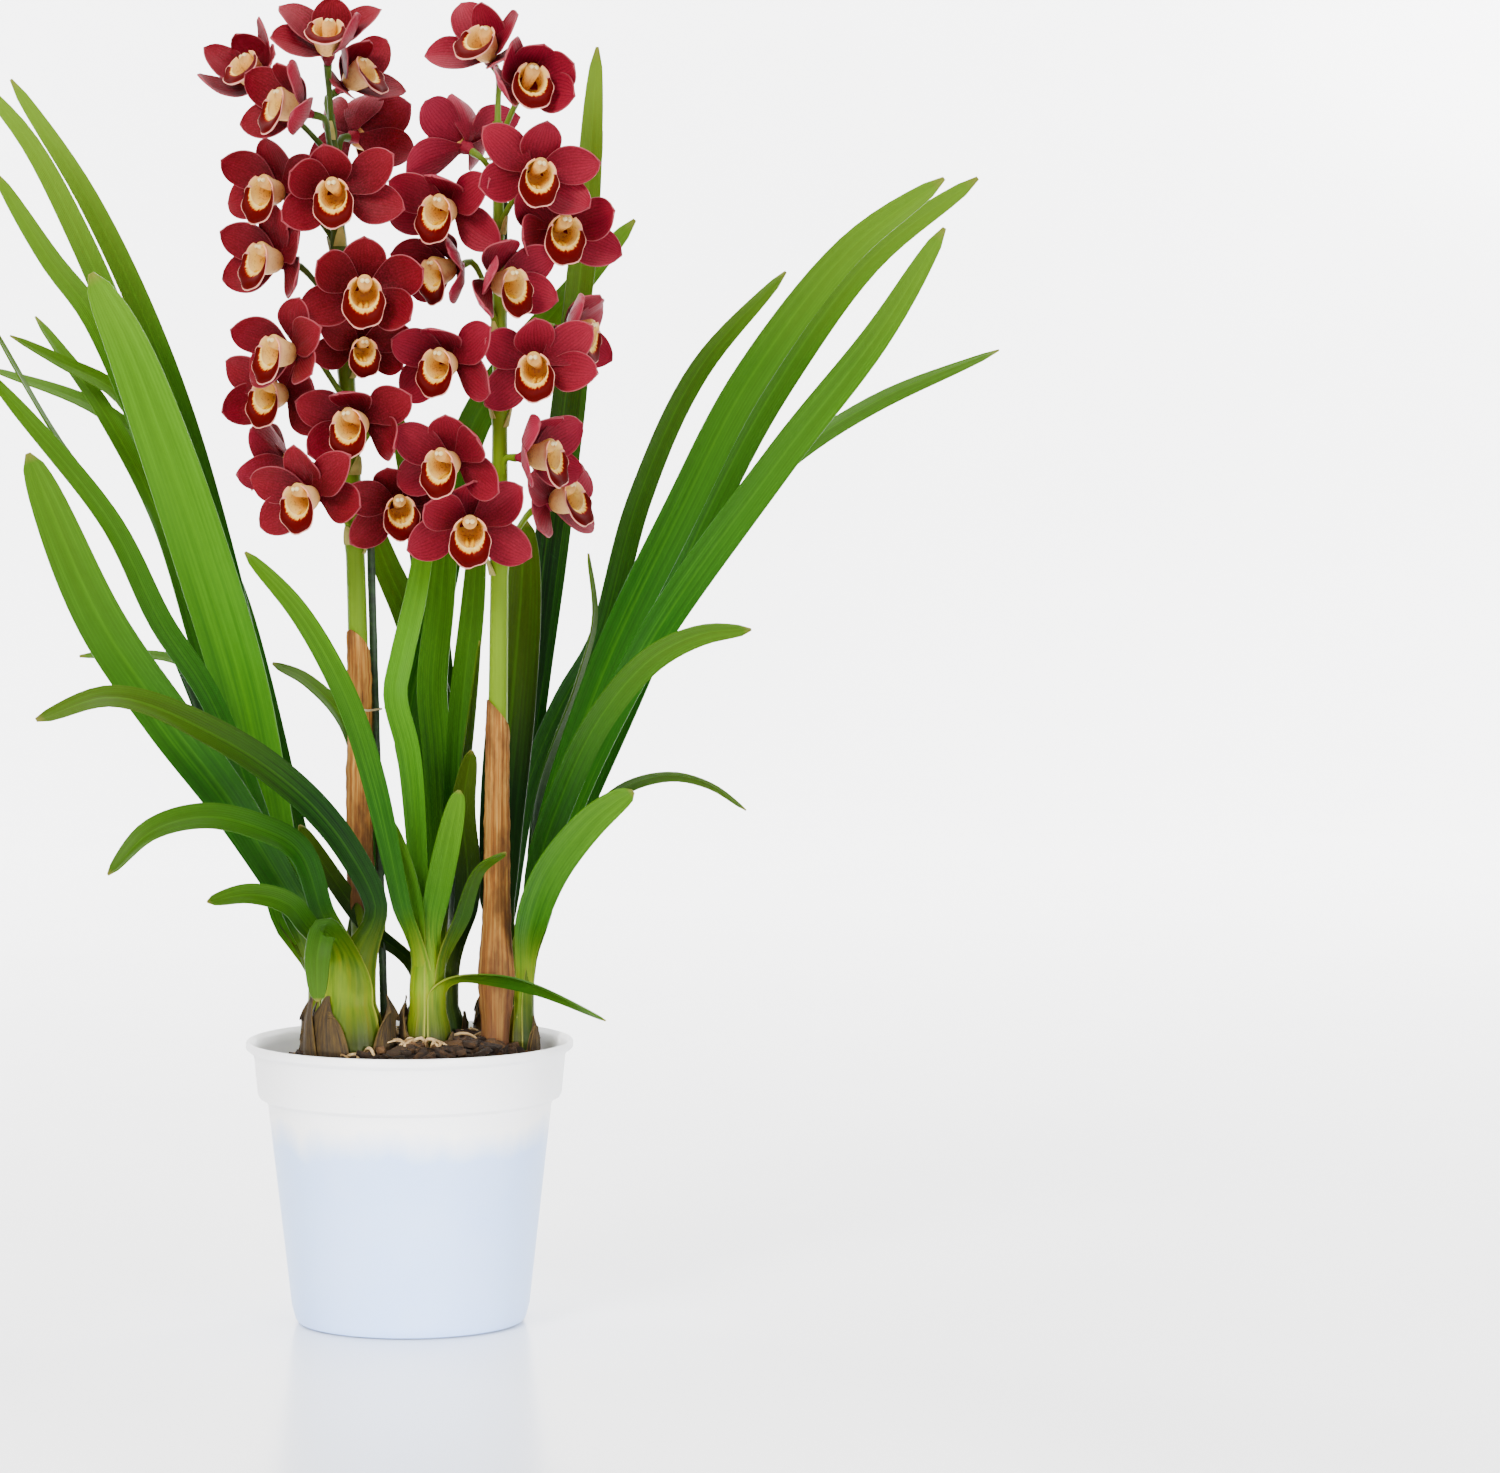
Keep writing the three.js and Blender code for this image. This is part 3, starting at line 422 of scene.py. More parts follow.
def coated_surface(name, light, dark, roughness, ridge_mm):
    """A smooth coating over a rod or wire: two near colours, with fine rings from the drawing."""
    made, shader, place = surface(name, Roughness=roughness, IOR=1.48)
    rings = noise(stretched(place, (120, 120, 1 / (ridge_mm * MM))), 1, 2)
    return dressed(made, shader, ramp(rings, [(0.3, dark), (0.7, light)]), rings, 0.1, 0.5)


STAKE_COAT = coated_surface("green_coated_stake", "#2f4a28", "#1b2d18", 0.42, 3)
TIE_COAT = coated_surface("coated_tie_wire", "#c9b48c", "#94805a", 0.6, 1)


# Modelling helpers


def only(*pieces):
    """Selects these pieces alone."""
    bpy.ops.object.select_all(action="DESELECT")
    for piece in pieces:
        piece.select_set(True)
    bpy.context.view_layer.objects.active = pieces[0]


def close_up(piece):
    """Merges doubles and turns all faces outwards."""
    only(piece)
    bpy.ops.object.mode_set(mode="EDIT")
    bpy.ops.mesh.select_all(action="SELECT")
    bpy.ops.mesh.remove_doubles(threshold=0.0005)
    bpy.ops.mesh.normals_make_consistent(inside=False)
    bpy.ops.object.mode_set(mode="OBJECT")


def smooth(piece, degrees):
    """Smooth shading, but for edges where the faces turn by more than this."""
    only(piece)
    bpy.ops.object.shade_smooth_by_angle(angle=math.radians(degrees))


def label(piece, name, values):
    """A number kept with each vertex of a piece, for its material or for later shaping."""
    attribute = piece.data.attributes.get(name) or piece.data.attributes.new(name, "FLOAT", "POINT")
    if isinstance(values, (int, float)):
        values = [values] * len(piece.data.vertices)
    attribute.data.foreach_set("value", values)


def sheet(name, across, along, place, thickness, materials, smooth_deg=60, clasp=None):
    """A thin sheet: a grid laid out by place(side, share), with side -1 to 1 and share 0 to 1, then
    given its thickness. The first material is on its front. A leaf also keeps how far it clasps."""
    bpy.ops.object.select_all(action="DESELECT")
    bpy.ops.mesh.primitive_grid_add(x_subdivisions=across, y_subdivisions=along, size=2)
    piece = bpy.context.object
    piece.name = name
    shares = [(vertex.co.y + 1) / 2 for vertex in piece.data.vertices]
    for vertex, share in zip(piece.data.vertices, shares):
        vertex.co = place(vertex.co.x, share)
    label(piece, "share", shares)
    if clasp:
        label(piece, "clasp", [clasp(share) for share in shares])
    for material in materials:
        piece.data.materials.append(material)
    wall = piece.modifiers.new("wall", "SOLIDIFY")
    wall.thickness = thickness
    wall.offset = 0
    wall.material_offset = len(materials) - 1
    bpy.ops.object.modifier_apply(modifier="wall")
    smooth(piece, smooth_deg)
    return piece


def rods(name, routes, level, materials):
    """Round rods with closed ends as one piece; a route is its points, its radii and its material's
    number."""
    curve = bpy.data.curves.new(name, "CURVE")
    curve.dimensions = "3D"
    curve.bevel_depth = 1
    curve.bevel_resolution = level
    curve.use_fill_caps = True
    for points, radii, index in routes:
        spline = curve.splines.new("POLY")
        spline.points.add(len(points) - 1)
        for made, point, radius in zip(spline.points, points, radii):
            made.co = (*point, 1)
            made.radius = radius
        spline.material_index = index
    for material in materials:
        curve.materials.append(material)
    only(placed(name, curve))
    bpy.ops.object.convert(target="MESH")
    piece = bpy.context.object
    close_up(piece)
    smooth(piece, 60)
    return piece


def turned(name, profile, steps, material):
    """A piece turned on the Z axis from its profile of radius and height."""
    mesh = bpy.data.meshes.new(name)
    mesh.from_pydata([(r, 0, z) for r, z in profile], [(i, i + 1) for i in range(len(profile) - 1)], [])
    mesh.materials.append(material)
    piece = placed(name, mesh)
    only(piece)
    turn = piece.modifiers.new("turn", "SCREW")
    turn.steps = steps
    turn.render_steps = steps
    turn.use_merge_vertices = True
    turn.merge_threshold = 0.001
    bpy.ops.object.modifier_apply(modifier="turn")
    close_up(piece)
    return piece


def joined(name, pieces):
    only(*pieces)
    bpy.ops.object.join()
    made = bpy.context.object
    made.name = name
    return made


def settle(piece, node):
    """Brings a finished piece to metres and puts it in the place of its CAD node."""
    piece.data.transform(Matrix.Scale(MM, 4))
    piece.data.update()
    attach(piece, "root")
    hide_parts(node)


def ease(share):
    share = min(1, max(0, share))
    return share * share * (3 - 2 * share)


def hermite(t, start, leave, end, arrive):
    """A number or point on a smooth curve from start to end, from its slopes at both, for t 0 to 1."""
    return (
        (2 * t**3 - 3 * t**2 + 1) * start
        + (t**3 - 2 * t**2 + t) * leave
        + (3 * t**2 - 2 * t**3) * end
        + (t**3 - t**2) * arrive
    )


def smooth_value(pairs, share):
    """A smooth curve through a short list of share and value pairs."""
    k = max(i for i, (at, _) in enumerate(pairs[:-1]) if i == 0 or at <= share)
    (s0, v0), (s1, v1) = pairs[k], pairs[k + 1]
    before, after = pairs[max(k - 1, 0)], pairs[min(k + 2, len(pairs) - 1)]
    gap = s1 - s0
    slope0 = (v1 - before[1]) / (s1 - before[0])
    slope1 = (after[1] - v0) / (after[0] - s0)
    return hermite(min(1, (share - s0) / gap), v0, gap * slope0, v1, gap * slope1)


CURVE_STEPS = 24


def route(points, count):
    """Evenly spaced points along a smooth curve through the given ones."""
    knots = [Vector(point) for point in points]
    knots = [2 * knots[0] - knots[1], *knots, 2 * knots[-1] - knots[-2]]
    fine = []
    for a, b, c, d in zip(knots, knots[1:], knots[2:], knots[3:]):
        g0, g1, g2 = ((q - p).length ** 0.5 for p, q in ((a, b), (b, c), (c, d)))
        leave = ((b - a) / g0 - (c - a) / (g0 + g1) + (c - b) / g1) * g1
        arrive = ((c - b) / g1 - (d - b) / (g1 + g2) + (d - c) / g2) * g1
        fine += [hermite(k / CURVE_STEPS, b, leave, c, arrive) for k in range(CURVE_STEPS)]
    fine.append(knots[-2])
    reached = [0.0]
    for p, q in zip(fine, fine[1:]):
        reached.append(reached[-1] + (q - p).length)
    made, k = [], 0
    for i in range(count + 1):
        wanted = reached[-1] * i / count
        while k < len(fine) - 2 and reached[k + 1] < wanted:
            k += 1
        made.append(fine[k].lerp(fine[k + 1], (wanted - reached[k]) / (reached[k + 1] - reached[k])))
    return made


def around(centre, turn, reach, z, reach_y=None):
    """The point at a height that a turn and a reach from a centre lead to. The round can be oval."""
    y = centre[1] + (reach if reach_y is None else reach_y) * math.sin(turn)
    return Vector((centre[0] + reach * math.cos(turn), y, z))


# Pot

POT_PROFILE = [
    (0, 0), (50.5, 0), (52, 0.6), (53, 2), (53.7, 4.6), (54.6, 8), (65, 101), (65.6, 102.4), (67.4, 103.4),
    (69.0, 104.3), (69.7, 106), (71.4, 123.4), (71.8, 124.6), (73.6, 125.6), (74.7, 126.4), (75, 127.3),
    (75, 129), (74.6, 129.8), (73.8, 130), (72.9, 129.6), (71.4, 127.4), (70.2, 124), (68.4, 106),
    (67.9, 105), (64.6, 103), (63.6, 101.4), (53.2, 9), (51.8, 3.6), (50.4, 2.5), (0, 2.5),
]
DRAIN_COUNT = 4
DRAIN_CIRCLE = 33
DRAIN_RADIUS = 4


def make_pot():
    pot = turned("nursery_pot", POT_PROFILE, 112, POT_PLASTIC)
    for k in range(DRAIN_COUNT):
        middle = around((0, 0), 2 * math.pi * k / DRAIN_COUNT, DRAIN_CIRCLE, 2)
        bpy.ops.mesh.primitive_cylinder_add(vertices=32, radius=DRAIN_RADIUS, depth=12, location=middle)
        drill = bpy.context.object
        only(pot)
        cut = pot.modifiers.new("drain", "BOOLEAN")
        cut.operation = "DIFFERENCE"
        cut.object = drill
        bpy.ops.object.modifier_apply(modifier="drain")
        bpy.data.objects.remove(drill)
    smooth(pot, 32)
    return pot


settle(make_pot(), "pot")

# Growths: bulbs and their fans of leaves

# A growth has its middle, its bulb's radii, its bulb's top and its leaves. Each leaf is its width, its
# roll at the root and at the tip, how light it is from 0 to 1 (partly its own colour, partly painted
# shade on the leaves that stand behind the others), and the points of its midrib.
Growth = namedtuple("Growth", "centre radii top leaves")
GROWTHS = {
    "back_left": Growth((-36, 27), (11, 9), 146, [
        (12, 0, 10, 0.4, [(-36, 27, 149), (-50, 27, 192), (-80, 34, 330), (-111, 40, 436), (-146, 48, 514),
            (-182, 58, 570)]),
        (12, 0, 10, 0.4, [(-41, 26, 149), (-66, 22, 240), (-101, 16, 370), (-127, 14, 445), (-148, 12, 496),
            (-171, 14, 540), (-194, 18, 568)]),
        (13, 10, 20, 0.45, [(-39, 28, 149), (-68, 38, 237), (-105, 52, 362), (-144, 62, 459),
            (-165, 68, 487), (-191, 76, 528)]),
        (11, 20, 40, 0.4, [(-40, 30, 149), (-78, 54, 245), (-115, 72, 366), (-141, 82, 416), (-162, 90, 445),
            (-174, 96, 461)]),
        (11, 10, 50, 0.35, [(-38, 31, 149), (-80, 66, 273), (-111, 80, 375), (-133, 76, 424),
            (-161, 70, 440), (-184, 66, 452)]),
        (11, 20, 50, 0.4, [(-36, 32, 149), (-55, 60, 235), (-83, 86, 337), (-114, 98, 391), (-144, 104, 417),
            (-197, 110, 437)]),
        (8, 30, 60, 0.4, [(-34, 33, 149), (-62, 72, 234), (-104, 92, 297), (-140, 96, 302),
            (-155, 98, 301)]),
        (10, 0, 50, 0.3, [(-32, 28, 149), (-18, 34, 214), (-27, 38, 270), (-46, 46, 292), (-63, 54, 300)]),
    ]),
    "mid_left": Growth((-41, 4), (7, 8), 140, [
        (26, 0, 0, 0.72, [(-44, 5, 143), (-57, 8, 196), (-76, 5, 290), (-95, 0, 356), (-112, -4, 408),
            (-127, -8, 449), (-142, -12, 480)]),
        (9, 60, 80, 0.25, [(-47, 5, 143), (-87, 20, 257), (-137, 16, 372), (-158, 10, 404),
            (-188, -4, 458)]),
        (11, 0, 30, 0.45, [(-45, 2, 143), (-56, -3, 195), (-89, -22, 288), (-111, -32, 324),
            (-133, -42, 370), (-186, -52, 436)]),
    ]),
    "front_left": Growth((-27, -19), (16, 13), 156, [
        (22, 0, 0, 0.5, [(-32, -18, 159), (-45, -20, 182), (-81, -34, 243), (-107, -42, 279),
            (-137, -50, 325), (-168, -60, 400)]),
        (15, 10, 50, 0.2, [(-20, -20, 159), (-14, -30, 190), (-27, -42, 221), (-49, -56, 249),
            (-84, -70, 275), (-130, -86, 294), (-163, -96, 284)]),
        (14, 20, 50, 0.45, [(-27, -21, 159), (-38, -32, 188), (-49, -42, 221), (-67, -54, 233),
            (-91, -64, 239), (-115, -74, 233), (-133, -80, 214)]),
        (11, 20, 40, 0.5, [(-32, -23, 159), (-42, -36, 178), (-53, -48, 197), (-71, -56, 203),
            (-90, -62, 200)]),
        (12, 10, 0, 0.4, [(-29, -25, 159), (-33, -42, 178), (-38, -54, 186), (-41, -61, 176),
            (-41, -63, 155)]),
    ]),
    "centre_front": Growth((8, -12), (10, 8), 150, [
        (11, 0, 20, 0.55, [(4, -12, 153), (-4, -24, 196), (-17, -30, 256), (-29, -32, 292), (-49, -32, 328),
            (-73, -32, 355)]),
        (11, 0, 0, 0.8, [(6, -11, 153), (4, -8, 212), (0, -3, 262), (-6, 2, 288), (-3, 6, 305), (4, 10, 335),
            (12, 14, 385)]),
        (12, 0, 0, 0.75, [(9, -12, 153), (8, -13, 172), (14, -16, 204), (23, -20, 246)]),
        (10, 0, 0, 0.6, [(6, -13, 153), (1, -18, 195), (-9, -23, 233)]),
        (9, 0, 60, 0.3, [(13, -12, 153), (22, -17, 180), (32, -22, 209), (44, -28, 218)]),
        (10, 40, 70, 0.45, [(14, -14, 153), (27, -22, 160), (42, -32, 160), (60, -40, 156), (88, -52, 144)]),
    ]),
    "centre_back": Growth((12, 26), (12, 9), 148, [
        (15, 0, 0, 0.3, [(8, 27, 151), (9, 34, 213), (14, 40, 273), (1, 46, 320), (-11, 50, 348),
            (-20, 54, 375)]),
        (16, 0, 20, 0.5, [(10, 26, 151), (5, 32, 237), (0, 38, 271), (15, 42, 338), (27, 48, 401),
            (43, 58, 431), (78, 68, 473), (107, 74, 506)]),
        (14, 0, 0, 0.65, [(13, 25, 151), (15, 25, 212), (13, 27, 262), (11, 30, 290), (15, 35, 330),
            (20, 40, 385)]),
        (12, 0, 0, 0.5, [(14, 24, 151), (20, 24, 214), (25, 24, 284), (30, 25, 330), (33, 26, 372)]),
        (10, 60, 70, 0.2, [(18, 23, 151), (23, 17, 225), (33, 17, 312)]),
        (9, 10, 20, 0.02, [(4, 20, 150), (-4, 14, 161), (-18, 6, 180), (-37, 0, 208), (-50, -4, 229)]),
        (12, 0, 10, 0.05, [(19, 20, 150), (24, 15, 172), (27, 11, 202), (25, 9, 236), (29, 9, 262)]),
        (14, 20, 20, 0.3, [(10, 29, 151), (10, 42, 199), (15, 48, 283), (10, 52, 329), (-1, 56, 399),
            (-9, 60, 422)]),
    ]),
    "back_right": Growth((44, 32), (11, 9), 148, [
        (14, 50, 0, 0.15, [(44, 32, 151), (48, 36, 223), (56, 42, 283), (64, 46, 348), (75, 52, 431),
            (83, 58, 501), (89, 64, 586)]),
        (13, 20, 30, 0.35, [(46, 33, 151), (54, 50, 235), (73, 62, 281), (90, 70, 309), (109, 78, 375),
            (138, 86, 436), (179, 92, 482)]),
        (15, 0, 20, 0.4, [(48, 32, 151), (70, 34, 209), (103, 32, 288), (137, 26, 367), (169, 20, 427),
            (212, 12, 486), (261, 4, 524)]),
        (13, 20, 50, 0.45, [(48, 34, 151), (70, 50, 212), (99, 60, 291), (137, 66, 356), (175, 70, 391),
            (222, 74, 421), (279, 80, 445)]),
        (8, 0, 60, 0.3, [(46, 36, 151), (62, 66, 281), (81, 80, 422), (86, 84, 492), (92, 88, 548)]),
        (22, 0, 0, 0.12, [(42, 30, 151), (42, 29, 214), (48, 30, 284), (52, 32, 330), (54, 34, 367)]),
    ]),
    "right": Growth((51, 8), (7, 7), 144, [
        (11, 60, 80, 0.2, [(55, 8, 147), (60, 16, 239), (79, 18, 294), (86, 18, 322), (83, 20, 352)]),
        (17, 0, 10, 0.5, [(53, 8, 147), (62, 14, 215), (88, 10, 294), (125, 2, 372), (156, -6, 432),
            (201, -16, 491), (243, -24, 523)]),
        (16, 0, 10, 0.5, [(55, 5, 147), (67, 2, 216), (105, -14, 304), (168, -34, 396), (212, -50, 454),
            (240, -58, 500)]),
        (14, 0, 30, 0.4, [(56, 3, 147), (59, -8, 208), (69, -20, 241), (86, -34, 278), (109, -44, 306),
            (131, -54, 318), (153, -64, 321)]),
        (17, 10, 20, 0.7, [(54, 2, 147), (55, -12, 181), (64, -26, 208), (80, -36, 230), (92, -41, 241),
            (101, -44, 247)]),
        (7, 30, 50, 0.2, [(56, 4, 147), (62, -6, 190), (76, -18, 222), (96, -28, 246), (118, -34, 253),
            (136, -38, 249), (152, -42, 238)]),
    ]),
}

# Pairs of share and value, from a leaf's sheath to its tip and from a bulb's foot to its top.
LEAF_OUTLINE = [
    (0, 0.5), (0.16, 0.72), (0.4, 0.95), (0.6, 1), (0.8, 0.9), (0.92, 0.7), (0.98, 0.42), (1, 0.1),
]
LEAF_STEPS = 52
CLASP_LENGTH = 42
BULB_FOOT = 108
BULB_OUTLINE = [(0, 0.75), (0.14, 0.9), (0.32, 1), (0.5, 0.985), (0.72, 0.88), (0.9, 0.68), (1, 0.5)]
BULB_STEPS = 14
BRACT_COUNT = 4


def round_bulb(growth, turn, reach, z):
    """The point at a turn round a growth and at a height. Its reach is a share of the bulb's radii."""
    rx, ry = growth.radii
    return around(growth.centre, turn, rx * reach, z, ry * reach)


def clasp_radius(growth, z, order):
    """How wide the sheaths stand round a growth at a height, as a share of its bulb's radius."""
    share = (z - BULB_FOOT) / (growth.top - BULB_FOOT)
    bulb = max(smooth_value(BULB_OUTLINE, min(share, 1)), 0.74)
    return (bulb - 0.1 * ease(share - 1)) * (0.96 + 0.035 * order)


def make_leaf(name, growth, order, leaf, draw):
    """A strap leaf: a sheath that clasps the growth from the bark up, then a blade that folds along
    its midrib."""
    width, root_roll, tip_roll, tone, points = leaf
    cx, cy = growth.centre
    bearing = math.atan2(points[2][1] - cy, points[2][0] - cx) + draw.uniform(-0.25, 0.25)
    low = round_bulb(growth, bearing, 0.95, BULB_FOOT + 8 + 2.5 * (order % 3))
    high = round_bulb(growth, bearing, 0.85, growth.top - 14)
    line = route([low, high, *points], LEAF_STEPS)
    length = sum((q - p).length for p, q in zip(line, line[1:]))
    sheath = next(i for i, p in enumerate(line) if p.z > points[0][2] - 1) / LEAF_STEPS
    wave = draw.uniform(0.2, 0.6)
    phase = draw.uniform(0, 6)

    def clasp(share):
        return 1 - ease((share - sheath) * length / CLASP_LENGTH)

    def place(side, share):
        i = round(share * LEAF_STEPS)
        blade = max(0, (share - sheath) / (1 - sheath))
        along = (line[min(i + 1, LEAF_STEPS)] - line[max(i - 1, 0)]).normalized()
        across = along.cross(VIEWER).normalized()
        across.rotate(Quaternion(along, math.radians(root_roll + (tip_roll - root_roll) * blade)))
        half = smooth_value(LEAF_OUTLINE, blade) * width / 2
        fold = -0.27 * half * (1 - abs(side) ** 1.2)
        ripple = wave * side * side * math.sin(share * length / 16 + phase + side)
        lift = fold + ripple * ease(blade * 4)
        spread = line[i] + across * side * half + across.cross(along) * lift
        hold = clasp(share)
        if hold <= 0:
            return spread
        turn = bearing + side * (1.15 - 0.13 * min(order, 5) + 0.35 * hold)
        z = line[i].z - 5 * side * side * hold
        return spread.lerp(round_bulb(growth, turn, clasp_radius(growth, z, order), z), hold)

    made = sheet(name, 8, LEAF_STEPS, place, 0.7, [LEAF_FACE, LEAF_UNDERSIDE], 26, clasp)
    # Its tone is partly its own colour and partly painted shade on leaves that stand behind.
    label(made, "tone", tone)
    return made


def make_fan(name, growth, draw):
    leaves = enumerate(growth.leaves)
    pieces = [make_leaf(f"{name}_{order}", growth, order, leaf, draw) for order, leaf in leaves]
    return joined(f"leaf_fan_{name}", pieces)


def make_bract(name, growth, k, draw):
    """An old bract that hugs the bulb, torn and standing away a little at its tip."""
    height = growth.top - BULB_FOOT
    lean = draw.uniform(-0.9, 0.5)
    bearing = math.pi - lean if k % 2 else lean
    tall = draw.uniform(0.4, 0.95) * height
    span = draw.uniform(0.7, 1.15)
    stand = 1.16 + 0.05 * k
    flare = draw.uniform(0.05, 0.3)
    tear = draw.uniform(2, 4)

    def place(side, share):
        turn = bearing + side * span * (1 - 0.62 * share**2.2)
        ragged = 1 - 0.16 * share**3 * (1 + math.sin(side * tear + bearing))
        z = BULB_FOOT + 5 + tall * share * ragged
        swell = stand * smooth_value(BULB_OUTLINE, min(1, (z - BULB_FOOT) / height)) + flare * share**3
        ridge = 0.022 * math.sin(side * 9 + bearing * 3)
        return round_bulb(growth, turn, swell + ridge, z)

    return sheet(name, 12, 12, place, 0.6, [BULB_BRACT])


def make_bulb(name, growth, draw):
    """A bulb with its old bracts."""
    height = growth.top - BULB_FOOT
    rise = [k / BULB_STEPS for k in range(BULB_STEPS + 1)]
    profile = [(smooth_value(BULB_OUTLINE, share), BULB_FOOT + height * share) for share in rise]
    bulb = turned(f"{name}_bulb", [(0, BULB_FOOT), *profile, (0, growth.top)], 36, BULB_SKIN)
    stretch = Matrix.Diagonal((*growth.radii, 1, 1))
    bulb.data.transform(Matrix.Translation((*growth.centre, 0)) @ stretch)
    smooth(bulb, 40)
    bracts = [make_bract(f"{name}_bract_{k}", growth, k, draw) for k in range(BRACT_COUNT)]
    return joined(f"bulb_with_bracts_{name}", [bulb, *bracts])


for place_name, growth in GROWTHS.items():
    draw = random.Random(place_name)
    settle(make_bulb(place_name, growth, draw), f"bulb_{place_name}")
    settle(make_fan(place_name, growth, draw), f"leaves_{place_name}")

# Flower spikes

# A spike is the points of its stem, the stem's radius along them, and its blooms. A bloom has its
# name, the middle of its mouth, the way it faces (degrees from the viewer to the right, degrees up),
# its roll, its size in per cent, how far below it its stalk leaves the stem, and how rosy it is from
# 0 to 1.
Bloom = namedtuple("Bloom", "name x y z azimuth pitch roll size drop rosy")
Spike = namedtuple("Spike", "line radius blooms")
SPIKES = {
    "left": Spike([(-20, 8, 112), (-22.5, 8, 215), (-22.5, 8, 285), (-24, 7, 354), (-26, 6, 400),
        (-28.5, 4, 454), (-32, 1, 518), (-34, 0, 552)],
        [(0, 5.2), (0.4, 4.6), (0.7, 4), (0.9, 3.2), (1, 1.8)], [
        ("top", -35, -30, 590, 0, 50, -10, 100, 30, 0.17),
        ("top_left", -74, -4, 575, -45, 38, 30, 100, 30, 0.2),
        ("top_right", -17, 6, 573, 56, 30, -5, 95, 26, 0.17),
        ("upper_left_inner", -59, -34, 556, -58, 14, 5, 100, 24, 0.12),
        ("turned_away", -16, 37, 544, 150, 5, 0, 100, 24, 0),
        ("left_2", -66, -12, 517, -38, 2, -5, 100, 24, 0.15),
        ("front_2", -33, -38, 515, -10, 0, 6, 102, 20, 0.17),
        ("left_3", -68, -16, 487, -48, 8, -5, 100, 24, 0.15),
        ("front_3", -19, -36, 471, 0, -2, -3, 106, 20, 0.07),
        ("left_4", -62, -32, 445, -48, 4, -5, 100, 24, 0.17),
        ("inner_4", -19, -19, 445, 12, -10, 0, 80, 12, 0),
        ("left_5", -65, 0, 425, -36, 0, -5, 100, 24, 0.17),
        ("front_5", -27, -34, 412, -26, 0, 8, 102, 20, 0.15),
        ("left_6", -50, -34, 378, -32, -6, 5, 100, 20, 0.15),
        ("back_6", -69, 24, 395, -100, 5, 0, 95, 20, 0.1),
        ("right_6", -3, -18, 373, 6, -5, 5, 92, 20, 0.07),
    ]),
    "right": Spike([(39, 0, 112), (39.5, 0, 157), (40, 0, 216), (41, 0, 285), (42, 0, 377), (42, 0, 468),
        (41.5, 0, 549)],
        [(0, 5), (0.5, 4.2), (0.75, 3.2), (1, 2.2)], [
        ("top_left", 33, -8, 587, -26, 38, -12, 100, 22, 0.6),
        ("top_right", 57, -38, 567, 14, 18, -10, 104, 22, 0.65),
        ("turned_away", 18, 14, 544, -140, 25, 0, 100, 14, 0.8),
        ("right_2", 60, -38, 524, 10, 0, -10, 100, 22, 0.65),
        ("left_2", 13, -26, 508, -28, 0, -8, 100, 22, 0.55),
        ("right_3", 72, -20, 499, 14, 0, -8, 104, 22, 0.6),
        ("left_3", 11, -8, 480, -48, -12, 0, 95, 22, 0.4),
        ("front_3", 49, -36, 475, 38, -2, 5, 100, 22, 0.6),
        ("left_4", 13, -28, 439, -28, 0, -5, 100, 22, 0.6),
        ("front_4", 57, -34, 437, -10, -2, 5, 100, 22, 0.65),
        ("right_4", 85, -4, 452, 66, -10, 0, 92, 26, 0.7),
        ("left_5", 14, -40, 394, -28, -3, 0, 100, 22, 0.45),
        ("right_5", 67, -18, 398, 56, 4, 0, 100, 22, 0.75),
        ("right_6", 77, 4, 379, 50, 16, 0, 100, 24, 0.8),
        ("front_6", 28, -33, 363, 0, -10, 0, 104, 22, 0.5),
    ]),
}

MOUTH = Vector((0, -1, 16.5))
BLOOM_BACK = 4.2
# Each tepal's direction in degrees from the bloom's right, its length and width, how far it stands
# out in front of the joint, and its forward curl.
TEPALS = [
    (90, 23, 19, 0.4, 12), (27, 29, 18.5, 2.8, 10), (153, 29, 18.5, 2.8, 10), (-24, 29.5, 19, 0.4, 9),
    (204, 29.5, 19, 0.4, 9),
]
TEPAL_ROOT = 2.4
TEPAL_OUTLINE = [
    (0, 0.2), (0.12, 0.42), (0.28, 0.74), (0.44, 0.96), (0.57, 1), (0.72, 0.91), (0.85, 0.69), (0.95, 0.37),
    (1, 0.06),
]
TEPAL_STEPS = 18


def tepal_directions(direction):
    turn = math.radians(direction)
    return Vector((math.cos(turn), math.sin(turn), 0)), Vector((math.sin(turn), -math.cos(turn), 0))


def make_tepal(number, tepal):
    direction, length, width, stand, curl = tepal
    outward, sideways = tepal_directions(direction)

    def place(side, share):
        half = smooth_value(TEPAL_OUTLINE, share) * width / 2
        out = TEPAL_ROOT + (length - TEPAL_ROOT) * share - 0.6 * side * side * share
        ahead = stand + curl * share**1.4 + 0.2 * half * abs(side) ** 1.6
        groove = -0.35 * max(0, 1 - abs(side) * 5) * math.sin(math.pi * share)
        frill = 0.28 * side * side * math.sin(share * 15 + side * 2 + number * 1.7) * share
        return outward * out + sideways * (side * half) + Vector((0, 0, ahead + groove + frill))

    made = sheet(f"tepal_{number}", 10, TEPAL_STEPS, place, 0.65, [PETAL_FACE, PETAL_BACK])
    label(made, "tepal", number)
    return made


# The throat's radius and how far ahead it is, from the middle of its closed bottom to its mouth.
THROAT_RADIUS = [(0, 0.3), (0.12, 3.3), (0.35, 5.2), (0.68, 6.3), (0.92, 6.9), (1, 7.3)]
THROAT_AHEAD = [(0, 3.1), (0.12, 2.7), (0.35, 5.8), (0.68, 11), (1, 16)]


